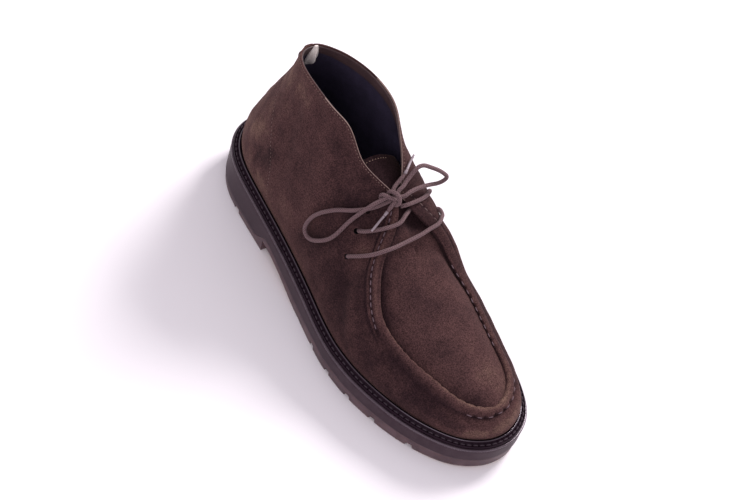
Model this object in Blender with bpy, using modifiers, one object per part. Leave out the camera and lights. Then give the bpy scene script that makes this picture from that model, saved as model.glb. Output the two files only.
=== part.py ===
"""Ankle-high moc-toe derby shoe, men's right shoe, as an assembly of separate pieces.

Metres, +Z up. The toe points to -Y, the lateral (outer) side is -X and the medial side +X.
The tables are in millimetres: "u" runs from the back of the sole towards the toe, "x" across
the shoe and "z" up from the floor. The origin is on the floor under the middle of the sole.
"""

import math

import bmesh
import bpy
import numpy as np
from mathutils import Vector
from mathutils.bvhtree import BVHTree

MM = 0.001
NAME = "moc_toe_derby_shoe"

# ---- driving sizes, in millimetres ----
SOLE_LENGTH = 301.0
SOLE_CENTRE_X = -3.1  # middle of the sole's width, in the tables' x
FIT_GAP = 0.3  # clearance between neighbouring pieces
HEEL_STACK = 30.3  # floor to the top edge of the midsole, under the heel
FORE_STACK = 20.3  # the same under the ball
TOE_SPRING = 2.0
SPRING_START = 248.0
HEEL_END = 30.0  # the sole drops from the heel height to the forefoot height
BALL_START = 175.0
BREAST = 87.0  # front face of the heel block
ARCH_END = 152.0  # where the waist comes down to the floor again
ARCH_HEIGHT = 10.5
TREAD_HEEL = 6.0  # thickness of the gum layer
TREAD_WAIST = 5.0
TREAD_FORE = 9.0
GROOVE_DEPTH = 4.0
WELT_EDGE = 1.3  # the midsole's rim shows this far outside the welt
WELT_TOP = 2.3  # welt's flat, above the midsole's rim
FEATHER = 7.1  # the upper leaves the welt this far inside the sole's edge
SHELF = 10.5  # inner edge of the welt
INSOLE_TOP = 4.6  # above the midsole's rim
WALL = 2.0  # suede and lining together
RIDGE_DROP = 1.8  # the apron lies this much below the crest of its seam
CREASE_DROP = 2.0  # the wall is pulled in by this much along the outside of the raised seam
CREASE_AT = 4.2  # from the seam's crest out to the crease
CREASE_HALF = 2.0
CREASE_ROWS = (10.5, 12.5)  # it starts between these rows of the tables
EYELET_R = 2.2
CORD_D = 2.8
CORD_STEP = 5.6  # between two points of a lace
BELOW = -2.0  # cutters of the tread start this far under the floor

# The welt's section: inset from the sole's outline, height above the midsole's rim. It has a
# flat, then a storm lip, then the shelf that carries the upper.
WELT_PROFILE = [
    (WELT_EDGE, FIT_GAP),
    (WELT_EDGE, WELT_TOP - 0.4),
    (WELT_EDGE + 0.5, WELT_TOP),
    (4.1, WELT_TOP),
    (4.6, 3.6),
    (5.2, 4.1),
    (5.8, 3.8),
    (6.2, WELT_TOP),
    (SHELF, WELT_TOP),
    (SHELF, FIT_GAP),
]

# The upper's sections, heel to toe, one table for each side. "u" and "x" are on the sole's
# outline. "top" is the upper's upper edge there: collar, then facing, then the apron's seam.
# "low" and "high" swell the wall outwards from the feather and from the top, at their heights.
LATERAL = [
    # u, x, top_u, top_x, top_z, low, low_z, high, high_z
    (6.0, -19.0, 35.5, -6.5, 133.8, 6.8, 58.0, 3.8, 98.0),
    (20.0, -32.0, 42.0, -13.0, 135.0, 6.0, 57.0, 4.0, 98.0),
    (38.0, -39.0, 54.0, -18.5, 137.6, 6.0, 56.0, 4.5, 98.0),
    (62.0, -42.4, 73.0, -21.5, 139.8, 6.0, 56.0, 5.0, 100.0),
    (88.0, -44.7, 93.0, -21.2, 139.3, 5.5, 56.0, 6.0, 99.0),
    (112.0, -47.1, 108.0, -18.3, 136.0, 5.0, 54.0, 9.0, 97.0),
    (130.0, -49.5, 120.0, -15.7, 123.0, 5.0, 50.0, 12.0, 92.0),
    (146.0, -52.1, 131.0, -10.5, 113.5, 5.0, 47.0, 16.0, 91.0),
    (160.0, -54.8, 148.0, 1.0, 103.5, 5.0, 44.0, 20.0, 92.0),
    (174.0, -57.2, 160.5, -5.5, 92.0, 5.0, 42.0, 17.0, 84.0),
    (188.0, -58.8, 174.0, -21.5, 79.5, 4.8, 41.0, 11.5, 76.0),
    (202.0, -58.7, 188.0, -30.5, 67.0, 4.5, 39.0, 9.0, 65.5),
    (216.0, -57.3, 204.0, -35.0, 56.8, 4.2, 37.0, 8.0, 56.5),
    (238.0, -52.2, 229.0, -32.5, 51.2, 4.0, 35.0, 8.5, 51.0),
    (260.0, -44.0, 250.0, -26.5, 49.4, 4.0, 34.0, 8.0, 48.8),
    (278.0, -33.7, 267.0, -21.0, 48.5, 4.0, 33.5, 7.5, 47.6),
    (291.0, -22.0, 278.5, -13.5, 47.6, 4.0, 33.0, 6.5, 46.2),
    (299.0, -7.5, 284.2, -4.8, 46.6, 3.6, 33.0, 5.5, 45.0),
]
MEDIAL = [
    # u, x, top_u, top_x, top_z, low, low_z, high, high_z
    (6.0, 21.5, 35.5, 7.5, 133.0, 8.5, 58.0, 8.0, 100.0),
    (20.0, 33.8, 42.0, 13.8, 133.2, 8.5, 57.0, 8.0, 100.0),
    (38.0, 37.8, 54.0, 18.5, 135.6, 7.5, 56.0, 6.0, 100.0),
    (62.0, 38.1, 73.0, 21.6, 138.8, 8.0, 56.0, 5.0, 100.0),
    (88.0, 36.2, 93.0, 22.3, 139.3, 9.0, 56.0, 6.0, 99.0),
    (112.0, 35.4, 108.0, 20.3, 136.0, 9.0, 54.0, 11.0, 98.0),
    (130.0, 36.4, 119.0, 18.0, 126.5, 8.0, 54.0, 20.0, 101.0),
    (146.0, 38.4, 132.0, 14.0, 115.0, 7.5, 53.0, 29.0, 102.0),
    (160.0, 41.5, 148.0, 4.6, 103.5, 7.0, 53.0, 41.0, 105.0),
    (174.0, 45.3, 160.5, 13.0, 93.5, 6.5, 50.0, 30.0, 98.5),
    (188.0, 48.7, 174.0, 24.0, 81.0, 5.0, 46.0, 16.5, 85.5),
    (202.0, 51.2, 188.0, 30.0, 67.0, 5.0, 40.0, 9.5, 67.0),
    (216.0, 52.5, 204.0, 35.0, 56.8, 4.0, 37.0, 8.0, 56.5),
    (238.0, 51.9, 229.0, 33.0, 51.2, 2.7, 35.0, 6.0, 51.0),
    (260.0, 47.3, 250.0, 29.5, 49.4, 2.3, 34.0, 5.5, 48.8),
    (278.0, 40.3, 267.0, 25.3, 48.5, 2.5, 33.5, 5.5, 47.6),
    (291.0, 30.5, 278.5, 17.0, 47.6, 3.5, 33.0, 6.5, 46.2),
    (299.0, 17.0, 284.2, 8.0, 46.6, 3.6, 33.0, 5.5, 45.0),
]
# The two sections on the middle line, with the same columns.
BACK = (0.0, 0.3, 34.0, 0.7, 133.6, 8.0, 59.0, 5.5, 100.0)
TOE = (SOLE_LENGTH, 5.0, 285.3, 1.5, 46.4, 3.5, 33.0, 5.2, 44.8)
THROAT_ROW = 9  # the collar ends and the facing begins at this row of the table
APRON_ROW = 11  # the apron's back edge
# Height of the apron's middle above its seam, at the rows from APRON_ROW to the toe.
APRON_CROWN = (4.5, 9.0, 12.0, 10.3, 7.6, 5.2, 3.4, 1.8, 0.8)

# Where the upper's mesh has its rings, from feather (0) to top edge (1), and its apron the
# points of each strip, from the lateral seam (-1) to the medial one (1).
RISES = (0.0, 0.07, 0.18, 0.31, 0.45, 0.6, 0.72, 0.82, 0.92, 1.0)
ACROSS = (-1.0, -0.88, -0.6, -0.3, 0.0, 0.3, 0.6, 0.88, 1.0)
HALF_ROW = 0.5  # the meshes have two columns for each row of the tables
APRON_ROUND = 2.2  # how square the apron's crown is: 2 is a parabola
CORE_Z = 0.03  # inside the shoe, above the insole, in metres

# Punched eyelets: position along each table of sections, and rise from feather (0) to edge (1).
LATERAL_EYELETS = [(9.1, 0.5), (8.85, 0.64), (8.75, 0.775)]
MEDIAL_EYELETS = [(9.85, 0.7), (9.0, 0.7), (8.3, 0.74)]

# Tongue: along the shoe, middle line, half width, height of the middle, drop at the edges.
TONGUE = [
    # u, x, half, z, drop
    (186.0, 1.0, 18.0, 74.5, 4.0),
    (176.0, 1.3, 20.5, 80.5, 5.5),
    (165.0, 2.0, 22.0, 87.5, 7.5),
    (152.0, 2.5, 22.0, 96.0, 9.0),
    (140.0, 2.0, 22.0, 102.0, 9.5),
    (128.0, 1.0, 21.5, 107.0, 10.0),
    (117.5, 0.0, 21.0, 111.2, 10.0),
]
TONGUE_GRID = (13, 11)  # rows along it, columns across it
TONGUE_WALL = 2.4
TUCK = 1.1  # the tongue's face lies this far under the upper's lining

# Channels of the tread, as lines (u, x) with a width. The heel has a broad rear pad with a bar
# running forward from it between two blocks.
HEEL_CHANNEL = 6.0
HEEL_CHANNELS = [
    [(51.0, -60.0), (49.0, -8.0)],
    [(51.0, 60.0), (49.0, 9.0)],
    [(46.5, -9.5), (92.0, -9.5)],
    [(46.5, 10.5), (92.0, 10.5)],
]
# The forefoot has slanted blocks along its inner side, squarer ones along its outer side, lugs
# down the middle and one block round the toe.
CHANNEL = 4.8
PITCH = 22.0  # from one cross channel to the next
CROSS_COUNT = 4
CROSS_LAT = 170.0
CROSS_MED = 178.0
SLANT_LAT = 2.0  # how far the inner end of a cross channel lies towards the toe
SLANT_MED = -11.0
LONG_LAT = -19.0
LONG_MED = 17.0
LONG_SWING = 3.0  # the long channels zigzag by this much
LONG_START = 158.0
EDGE = 70.0  # beyond the sole's edge
TOE_CHANNEL = [
    (263.0, -EDGE),
    (265.0, -19.0),
    (273.0, -11.0),
    (276.0, 1.0),
    (272.0, 12.0),
    (257.0, 20.0),
    (268.0, EDGE),
]

# Strips that follow the upper's back: middle and half width in table rows, rise of the lower
# and the upper end, thickness. The pull tab lies against the lining, a little to the medial side.
HEEL_STRIP_ROWS = (0.0, 0.42)
HEEL_STRIP_RISE = (0.85, 0.985)
HEEL_STRIP_WALL = 1.1
PULL_TAB_ROWS = (-0.5, 0.4)
PULL_TAB_RISE = (0.8, 0.985)
PULL_TAB_WALL = 0.9
STRIP_GAP = 0.5  # from the strips to the upper's wall

# The lace, as points (u, x, z) of its middle line. The crossings stay clear of upper and tongue.
LACE = {
    "lace_bar_lower": [
        (155.0, -34.8, 68.0),
        (160.2, -31.2, 72.8),
        (166.0, -27.0, 78.2),
        (171.3, -19.4, 84.9),
        (172.4, -12.0, 86.4),
        (172.2, -3.0, 87.2),
        (171.6, 8.8, 88.0),
        (170.4, 17.0, 88.6),
        (169.0, 24.6, 88.6),
        (166.0, 30.6, 87.9),
        (162.5, 33.9, 86.8),
        (158.9, 34.4, 87.2),
    ],
    "lace_bar_upper": [
        (148.7, -27.0, 82.7),
        (154.2, -21.0, 86.5),
        (159.5, -13.8, 91.5),
        (161.5, -6.7, 93.7),
        (161.1, -2.0, 94.6),
    ],
    "lace_bar_top": [
        (152.8, 2.1, 98.9),
        (154.1, 4.6, 100.1),
        (154.4, 9.6, 100.3),
        (153.9, 16.2, 99.7),
        (152.4, 22.4, 98.6),
        (149.8, 27.7, 96.9),
        (147.2, 30.9, 94.7),
    ],
    "lace_loop_lateral": [
        (149.2, -2.5, 104.5),
        (147.1, -5.6, 104.9),
        (146.2, -8.8, 103.6),
        (145.3, -13.0, 101.0),
        (144.6, -17.8, 97.7),
        (143.2, -22.8, 92.0),
        (141.6, -28.0, 84.6),
        (141.0, -33.6, 76.2),
        (138.6, -38.2, 69.0),
        (132.7, -41.2, 62.2),
        (126.2, -42.2, 57.6),
        (120.6, -41.8, 57.8),
        (118.4, -40.6, 62.4),
        (119.8, -38.6, 70.5),
        (124.3, -35.4, 79.0),
        (131.5, -30.4, 87.0),
        (136.9, -26.0, 90.5),
        (141.1, -20.7, 93.1),
        (143.6, -16.6, 95.0),
        (145.7, -12.3, 97.2),
        (147.5, -6.9, 100.4),
        (148.6, -3.1, 102.8),
    ],
    "lace_loop_medial": [
        (151.2, 4.9, 106.6),
        (150.4, 9.6, 107.4),
        (149.4, 21.6, 106.2),
        (149.2, 32.6, 103.4),
        (149.6, 37.8, 104.6),
        (149.6, 39.2, 107.4),
        (148.2, 37.0, 110.2),
        (146.1, 32.5, 113.5),
        (143.6, 27.0, 116.2),
        (142.1, 22.5, 118.2),
        (141.8, 18.0, 117.9),
        (142.8, 13.5, 114.7),
        (144.8, 8.0, 110.8),
        (146.2, 5.2, 109.4),
    ],
    "lace_end_upper": [
        (144.4, -0.2, 106.0),
        (141.4, 5.0, 108.6),
        (139.0, 11.4, 112.6),
        (134.6, 17.4, 114.0),
        (130.2, 23.6, 115.4),
    ],
    "lace_end_lower": [
        (151.2, -3.0, 103.8),
        (152.3, -6.1, 101.3),
        (153.4, -9.5, 98.4),
        (154.7, -13.9, 95.3),
        (156.2, -18.2, 92.9),
        (157.2, -21.8, 90.3),
    ],
}
KNOT = (149.2, 0.6, 107.1)  # middle of the knot
KNOT_RADIUS = 1.9
KNOT_TURNS = 1.6
KNOT_PITCH = 3.3

COLOURS = {
    "suede": ((0.060, 0.034, 0.028), 0.95, 0.0),
    "lining": ((0.012, 0.010, 0.012), 0.85, 0.0),
    "gum": ((0.30, 0.155, 0.065), 0.45, 0.0),
    "taupe_rubber": ((0.085, 0.062, 0.058), 0.5, 0.0),
    "welt_rubber": ((0.012, 0.007, 0.010), 0.4, 0.0),
    "lace": ((0.115, 0.075, 0.070), 0.9, 0.0),
    "tab": ((0.62, 0.56, 0.52), 0.8, 0.0),
}


# ---- curves and heights ----
def spline(rows, at, closed=False):
    """Smooth curve through rows at knots 0, 1, 2 and so on, read at the knot values "at"."""
    rows = np.asarray(rows, float)
    n = len(rows)
    slopes = np.zeros((n, n))
    right = np.zeros_like(rows)
    for i in range(n):
        before, after = (i - 1) % n, (i + 1) % n
        inner = closed or 0 < i < n - 1
        slopes[i, i] = 4.0 if inner else 2.0
        if closed or i > 0:
            slopes[i, before] += 1.0
        if closed or i < n - 1:
            slopes[i, after] += 1.0
        low = rows[before] if closed or i > 0 else rows[i]
        high = rows[after] if closed or i < n - 1 else rows[i]
        right[i] = 3.0 * (high - low)
    slopes = np.linalg.solve(slopes, right)
    at = np.asarray(at, float)
    first = np.floor(at).astype(int)
    if not closed:
        first = np.clip(first, 0, n - 2)
    f = (at - first)[:, None]
    a, b = first % n, (first + 1) % n
    return (
        rows[a] * (1 + 2 * f) * (1 - f) ** 2
        + slopes[a] * f * (1 - f) ** 2
        + rows[b] * f**2 * (3 - 2 * f)
        + slopes[b] * f**2 * (f - 1)
    )


def ease(value, start, end):
    """0 before start, 1 after end, and a smooth step between."""
    f = np.clip((np.asarray(value, float) - start) / (end - start), 0.0, 1.0)
    return f * f * (3.0 - 2.0 * f)


def spring(u):
    """How far the toe is lifted off the floor."""
    return TOE_SPRING * np.clip((u - SPRING_START) / (SOLE_LENGTH - SPRING_START), 0.0, None) ** 2


def rim_z(u):
    """Top edge of the midsole."""
    return HEEL_STACK + (FORE_STACK - HEEL_STACK) * ease(u, HEEL_END, BALL_START) + spring(u)


def arch_z(u):
    """Underside of the waist, ahead of the heel's breast."""
    return ARCH_HEIGHT * (1.0 - ease(u, BREAST, ARCH_END))


def tread_top(u):
    """Where the gum layer meets the midsole."""
    heel = TREAD_HEEL
    ahead = arch_z(u) + TREAD_WAIST + (TREAD_FORE - TREAD_WAIST) * ease(u, 110.0, ARCH_END + 15.0)
    return heel + (ahead - heel) * ease(u, BREAST - 12.0, BREAST + 4.0) + spring(u)


# ---- the sections as one closed round: back, lateral side, toe, medial side ----
ROWS = len(LATERAL)
TOE_KNOT = ROWS + 1
KNOTS = 2 * ROWS + 2
SECTIONS = np.array(
    [BACK] + LATERAL + [TOE] + MEDIAL[::-1],
    float,
)
OUTLINE = SECTIONS[:, 0:2]
TOPS = SECTIONS[:, 2:5]
SWELL = SECTIONS[:, 5:9]


def outline(at, inset=0.0):
    """Points (u, x) of the sole's outline, moved inwards by inset, and the outward directions."""
    step = 0.01
    points = spline(OUTLINE, at, closed=True)
    along = spline(OUTLINE, at + step, closed=True) - spline(OUTLINE, at - step, closed=True)
    along /= np.linalg.norm(along, axis=1)[:, None]
    outward = np.stack([along[:, 1], -along[:, 0]], axis=1)
    return points - outward * inset, outward


def top_edge(at):
    """Points (u, x, z) of the upper's top edge: one curve for the collar, one for the front."""
    at = np.mod(at, KNOTS)
    lateral, medial = THROAT_ROW, KNOTS - THROAT_ROW
    front = (at >= lateral) & (at <= medial)
    collar_rows = np.vstack([TOPS[medial:], TOPS[: lateral + 1]])
    points = np.empty((len(at), 3))
    points[front] = spline(TOPS[lateral : medial + 1], at[front] - lateral)
    points[~front] = spline(collar_rows, np.mod(at[~front] - medial, KNOTS))
    return points


def upper_point(at, rise):
    """Outer face of the upper: "at" goes round the shoe, "rise" from feather (0) to top (1)."""
    at = np.asarray(at, float)
    rise = np.broadcast_to(np.asarray(rise, float), at.shape)[:, None]
    feather, outward = outline(at, FEATHER)
    low, low_z, high, high_z = spline(SWELL, at, closed=True).T
    top = top_edge(at)
    start_z = rim_z(feather[:, 0]) + WELT_TOP + FIT_GAP
    start = np.column_stack([feather, start_z])
    lower = np.column_stack([feather + outward * low[:, None], low_z])
    upper = np.column_stack([top[:, :2] + outward * high[:, None], high_z])
    return (
        start * (1 - rise) ** 3
        + 3 * lower * rise * (1 - rise) ** 2
        + 3 * upper * rise**2 * (1 - rise)
        + top * rise**3
    )


def upper_normal(at, rise):
    """Outward unit normals of upper_point."""
    at = np.asarray(at, float)
    rise = np.broadcast_to(np.asarray(rise, float), at.shape)
    step = 0.02
    high = np.clip(rise + step, 0.0, 1.0)
    low = np.clip(rise - step, 0.0, 1.0)
    round_it = upper_point(at + step, rise) - upper_point(at - step, rise)
    up = upper_point(at, high) - upper_point(at, low)
    normal = np.cross(round_it, up)
    normal /= np.linalg.norm(normal, axis=1)[:, None]
    return normal


def wall_point(at, rise):
    """upper_point with the crease that sets off the raised seam round the apron."""
    points = upper_point(at, rise)
    row = np.minimum(np.mod(at, KNOTS), KNOTS - np.mod(at, KNOTS))
    away = np.linalg.norm(points - top_edge(at), axis=1)
    depth = CREASE_DROP * ease(row, *CREASE_ROWS) * np.exp(-(((away - CREASE_AT) / CREASE_HALF) ** 2))
    return points - upper_normal(at, rise) * depth[:, None]


def to_frame(points):
    """(u, x, z) in millimetres to the shoe's own frame in metres."""
    points = np.asarray(points, float)
    return np.column_stack(
        [points[:, 1] - SOLE_CENTRE_X, SOLE_LENGTH / 2 - points[:, 0], points[:, 2]]
    ) * MM


# ---- making objects ----
def clear_scene():
    for obj in list(bpy.data.objects):
        bpy.data.objects.remove(obj, do_unlink=True)


def new_collection(name):
    collection = bpy.data.collections.new(name)
    bpy.context.scene.collection.children.link(collection)
    return collection


def material(name):
    colour, roughness, metallic = COLOURS[name]
    made = bpy.data.materials.get(name) or bpy.data.materials.new(name)
    made.use_nodes = True
    shader = made.node_tree.nodes["Principled BSDF"]
    shader.inputs["Base Color"].default_value = (*colour, 1.0)
    shader.inputs["Roughness"].default_value = roughness
    shader.inputs["Metallic"].default_value = metallic
    made.diffuse_color = (*colour, 1.0)
    return made


def add_mesh(name, collection, points, faces, finish=None, smooth_angle=40.0):
    """An object from points in the shoe's frame, with its faces turned outwards."""
    mesh = bpy.data.meshes.new(name)
    mesh.from_pydata([tuple(p) for p in points], [], [tuple(f) for f in faces])
    builder = bmesh.new()
    builder.from_mesh(mesh)
    bmesh.ops.remove_doubles(builder, verts=builder.verts, dist=1e-6)
    bmesh.ops.recalc_face_normals(builder, faces=builder.faces)
    builder.to_mesh(mesh)
    builder.free()
    obj = bpy.data.objects.new(name, mesh)
    collection.objects.link(obj)
    if finish:
        mesh.materials.append(material(finish))
        mesh.shade_smooth()
        mesh.set_sharp_from_angle(angle=math.radians(smooth_angle))
    return obj


def move_to(obj, collection):
    for owner in list(obj.users_collection):
        owner.objects.unlink(obj)
    collection.objects.link(obj)


def as_cutter(obj):
    obj.hide_render = True
    obj.display_type = "WIRE"
    return obj


def cut(obj, cutter):
    boolean = obj.modifiers.new(cutter.name, "BOOLEAN")
    boolean.operation = "DIFFERENCE"
    boolean.solver = "EXACT"
    boolean.object = cutter


def ring_faces(rings, count, closed_loop=True):
    """Quads between one ring of "count" points and the next."""
    faces = []
    last = count if closed_loop else count - 1
    for ring in range(rings - 1):
        for i in range(last):
            a, b = ring * count + i, ring * count + (i + 1) % count
            faces.append((a, b, b + count, a + count))
    return faces


def plate(name, collection, levels, finish):
    """A layer of the sole: a ring for each (inset, height function), capped below and above."""
    at = np.arange(0, KNOTS, HALF_ROW)
    count = len(at)
    points = []
    for inset, height in levels:
        ring, _ = outline(at, inset)
        points.append(np.column_stack([ring, height(ring[:, 0])]))
    faces = ring_faces(len(levels), count)
    for base, turn in ((0, False), ((len(levels) - 1) * count, True)):
        for i in range(count // 2):
            j = (count - i) % count
            face = [base + i, base + i + 1, base + (j - 1) % count, base + j]
            face = list(dict.fromkeys(face))
            faces.append(tuple(face[::-1]) if turn else tuple(face))
    return add_mesh(name, collection, to_frame(np.vstack(points)), faces, finish)


def channel(name, cutters, line, width):
    """Cutter for one channel: a mitred strip along a line of (u, x), up to the channel's bottom."""
    line = np.asarray(line, float)
    runs = np.diff(line, axis=0)
    runs /= np.linalg.norm(runs, axis=1)[:, None]
    before = np.vstack([runs[:1], runs])
    after = np.vstack([runs, runs[-1:]])
    side = np.stack([-(before + after)[:, 1], (before + after)[:, 0]], axis=1)
    side /= (1.0 + np.sum(before * after, axis=1))[:, None]
    edges = [line - side * width / 2, line + side * width / 2]
    n = len(line)
    points = [np.column_stack([edge, np.full(n, z)]) for z in (BELOW, GROOVE_DEPTH) for edge in edges]
    corners = (0, n, 3 * n, 2 * n)
    faces = [corners, tuple(c + n - 1 for c in corners[::-1])]
    for k in range(n - 1):
        for a, b in zip(corners, corners[1:] + corners[:1]):
            faces.append((a + k, b + k, b + k + 1, a + k + 1))
    return as_cutter(add_mesh(name, cutters, to_frame(np.vstack(points)), faces))


def tread_channels():
    """Every channel of the tread as its line and width."""
    lines = [(line, HEEL_CHANNEL) for line in HEEL_CHANNELS]
    lines.append((TOE_CHANNEL, CHANNEL))
    for first, slant, inner in ((CROSS_LAT, SLANT_LAT, LONG_LAT), (CROSS_MED, SLANT_MED, LONG_MED)):
        edge = math.copysign(EDGE, inner)
        out = math.copysign(LONG_SWING, inner)
        long_line = [(LONG_START, inner - out)]
        for k in range(CROSS_COUNT):
            u = first + PITCH * k
            lines.append(([(u, edge), (u + slant, inner)], CHANNEL))
            long_line += [(u + slant, inner + out), (u + slant + PITCH / 2, inner - out)]
        lines.append((long_line, CHANNEL))
    for k in range(CROSS_COUNT):
        u = CROSS_LAT + SLANT_LAT + PITCH * (k + 0.5)
        lines.append(([(u, LONG_LAT), (u, LONG_MED)], CHANNEL))
    return lines


# ---- the pieces ----
def make_outsole(parts, cutters):
    levels = [
        (1.6, lambda u: spring(u)),
        (0.8, lambda u: 1.6 + spring(u)),
        (0.5, lambda u: tread_top(u) - FIT_GAP),
    ]
    outsole = plate("outsole", parts, levels, "gum")
    steps = np.linspace(BREAST, ARCH_END, 9)
    profile = [(BREAST, BELOW)] + [(u, float(arch_z(u))) for u in steps] + [(ARCH_END, BELOW)]
    near = to_frame([(u, -EDGE, z) for u, z in profile])
    far = to_frame([(u, EDGE, z) for u, z in profile])
    n = len(profile)
    faces = [tuple(range(n)), tuple(range(2 * n - 1, n - 1, -1))]
    faces += [(i, i + n, (i + 1) % n + n, (i + 1) % n) for i in range(n)]
    cut(outsole, as_cutter(add_mesh("arch_cutter", cutters, np.vstack([near, far]), faces)))
    for k, (line, width) in enumerate(tread_channels()):
        cut(outsole, channel(f"channel_{k:02d}", cutters, line, width))
    return outsole


def make_midsole(parts):
    levels = [
        (0.6, lambda u: tread_top(u)),
        (0.0, lambda u: 0.5 * (tread_top(u) + rim_z(u))),
        (0.0, lambda u: rim_z(u) - 0.8),
        (0.7, lambda u: rim_z(u)),
    ]
    return plate("midsole", parts, levels, "taupe_rubber")


def make_welt(parts):
    """A ring whose inner side rises to a storm lip against the upper."""
    at = np.arange(0, KNOTS, HALF_ROW)
    points = []
    for inset, rise in WELT_PROFILE:
        ring, _ = outline(at, inset)
        points.append(np.column_stack([ring, rim_z(ring[:, 0]) + rise]))
    count = len(at)
    faces = ring_faces(len(WELT_PROFILE), count)
    last = (len(WELT_PROFILE) - 1) * count
    faces += [(last + i, last + (i + 1) % count, (i + 1) % count, i) for i in range(count)]
    return add_mesh("welt", parts, to_frame(np.vstack(points)), faces, "welt_rubber")


def make_insole(parts):
    inset = SHELF + FIT_GAP
    levels = [
        (inset, lambda u: rim_z(u) + FIT_GAP),
        (inset, lambda u: rim_z(u) + INSOLE_TOP - 0.8),
        (inset + 0.8, lambda u: rim_z(u) + INSOLE_TOP),
    ]
    return plate("insole", parts, levels, "lining")


def upper_surface():
    """The upper's outer face as points and quads: walls, then the apron that closes the vamp."""
    at = np.arange(0, KNOTS, HALF_ROW)
    count = len(at)
    points = [wall_point(at, rise) for rise in RISES]
    faces = ring_faces(len(RISES), count)
    top = (len(RISES) - 1) * count
    first = 2 * APRON_ROW
    toe = 2 * TOE_KNOT
    crowns = spline(np.array(APRON_CROWN)[:, None], np.arange(0, toe - first + 1) * HALF_ROW)[:, 0]
    edge = points[-1]
    rows = []
    total = count * len(RISES)
    for k, i in enumerate(range(first, toe)):
        lateral, medial = edge[i], edge[count - i]
        row = [top + i]
        for q in ACROSS[1:-1]:
            point = lateral + (medial - lateral) * (q + 1) / 2
            point[2] += crowns[k] * (1 - abs(q) ** APRON_ROUND) - RIDGE_DROP
            points.append(point[None])
            row.append(total)
            total += 1
        row.append(top + (count - i) % count)
        rows.append(row)
    for a, b in zip(rows, rows[1:]):
        faces += [(a[j], a[j + 1], b[j + 1], b[j]) for j in range(len(a) - 1)]
    tip = top + toe
    faces += [(rows[-1][j], rows[-1][j + 1], tip) for j in range(len(rows[-1]) - 1)]
    return to_frame(np.vstack(points)), faces


def make_upper(parts, cutters):
    """One hollow wall, open at the collar, the throat and underneath."""
    points, faces = upper_surface()
    upper = add_mesh("upper", parts, points, faces, "suede", 50.0)
    flip_if_inward(upper)
    solidify = upper.modifiers.new("wall", "SOLIDIFY")
    solidify.thickness = WALL * MM
    solidify.offset = -1.0
    places = LATERAL_EYELETS + [(KNOTS - row, rise) for row, rise in MEDIAL_EYELETS]
    for k, (at, rise) in enumerate(places):
        middle = Vector(to_frame(upper_point([at], rise))[0])
        turned = upper_normal([at], rise)[0]
        normal = Vector((turned[1], -turned[0], turned[2]))
        size = {"radius": EYELET_R * MM, "depth": 5 * WALL * MM}
        bpy.ops.mesh.primitive_cylinder_add(vertices=10, location=middle, **size)
        punch = bpy.context.active_object
        punch.name = f"punch_{k}"
        punch.rotation_euler = normal.to_track_quat("Z", "Y").to_euler()
        move_to(punch, cutters)
        cut(upper, as_cutter(punch))
    return upper


def flip_if_inward(obj):
    """An open skin has no inside, so its faces are turned away from the shoe's middle line."""
    mesh = obj.data
    score = sum(
        face.area * face.normal.dot(Vector((face.center.x, 0.0, face.center.z - CORE_Z)))
        for face in mesh.polygons
    )
    if score < 0:
        mesh.flip_normals()


def sheet(name, collection, top_points, rows, columns, thickness, finish):
    """A closed sheet: a grid of points in the shoe's frame, and the same grid moved along its normals."""
    grid = top_points.reshape(rows, columns, 3)
    along = np.gradient(grid, axis=0)
    side = np.gradient(grid, axis=1)
    normal = np.cross(side, along)
    normal /= np.linalg.norm(normal, axis=2)[..., None]
    back = grid - normal * thickness * MM
    points = np.vstack([grid.reshape(-1, 3), back.reshape(-1, 3)])
    n = rows * columns
    faces = []
    for i in range(rows - 1):
        for j in range(columns - 1):
            a = i * columns + j
            quad = (a, a + 1, a + columns + 1, a + columns)
            faces.append(quad)
            faces.append(tuple(n + k for k in quad[::-1]))
    rim = [j for j in range(columns)]
    rim += [i * columns + columns - 1 for i in range(1, rows)]
    rim += [(rows - 1) * columns + j for j in range(columns - 2, -1, -1)]
    rim += [i * columns for i in range(rows - 2, 0, -1)]
    for a, b in zip(rim, rim[1:] + rim[:1]):
        faces.append((a, b, b + n, a + n))
    return add_mesh(name, collection, points, faces, finish)


def overlay(name, collection, middle_half, rise_span, near, far, columns, rows, finish):
    """A patch that follows the upper's own face, between two offsets along its normals."""
    middle, half = middle_half
    ats = np.linspace(middle - half, middle + half, columns)
    rises = np.linspace(*rise_span, rows)
    grid = []
    for rise in rises:
        rise_here = np.full(columns, rise)
        grid.append(upper_point(ats, rise_here) + upper_normal(ats, rise_here) * far)
    thickness = far - near
    grid = to_frame(np.vstack(grid))
    return sheet(name, collection, grid, rows, columns, thickness, finish)


def tucked(points, skin, depth):
    """Points in the frame, moved inwards until they lie at least depth under the upper's face."""
    moved = []
    for point in points:
        place = Vector(point)
        for _ in range(4):
            near, normal, _, _ = skin.find_nearest(place)
            short = (place - near).dot(normal) + depth * MM
            if short > 0:
                place = place - normal * short
        moved.append(tuple(place))
    return np.array(moved)


def skin_of(obj):
    """Search tree of an object's own faces, before its modifiers."""
    mesh = obj.data
    return BVHTree.FromPolygons([v.co for v in mesh.vertices], [f.vertices for f in mesh.polygons])


def make_tongue(parts, upper):
    rows, columns = TONGUE_GRID
    lines = spline(TONGUE, np.linspace(0, len(TONGUE) - 1, rows))
    grid = []
    for u, x, half, z, drop in lines:
        for q in np.linspace(-1.0, 1.0, columns):
            grid.append((u, x + q * half, z - drop * abs(q) ** 1.9))
    grid = tucked(to_frame(grid), skin_of(upper), WALL + TUCK)
    return sheet("tongue", parts, grid, rows, columns, TONGUE_WALL, "suede")


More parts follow.
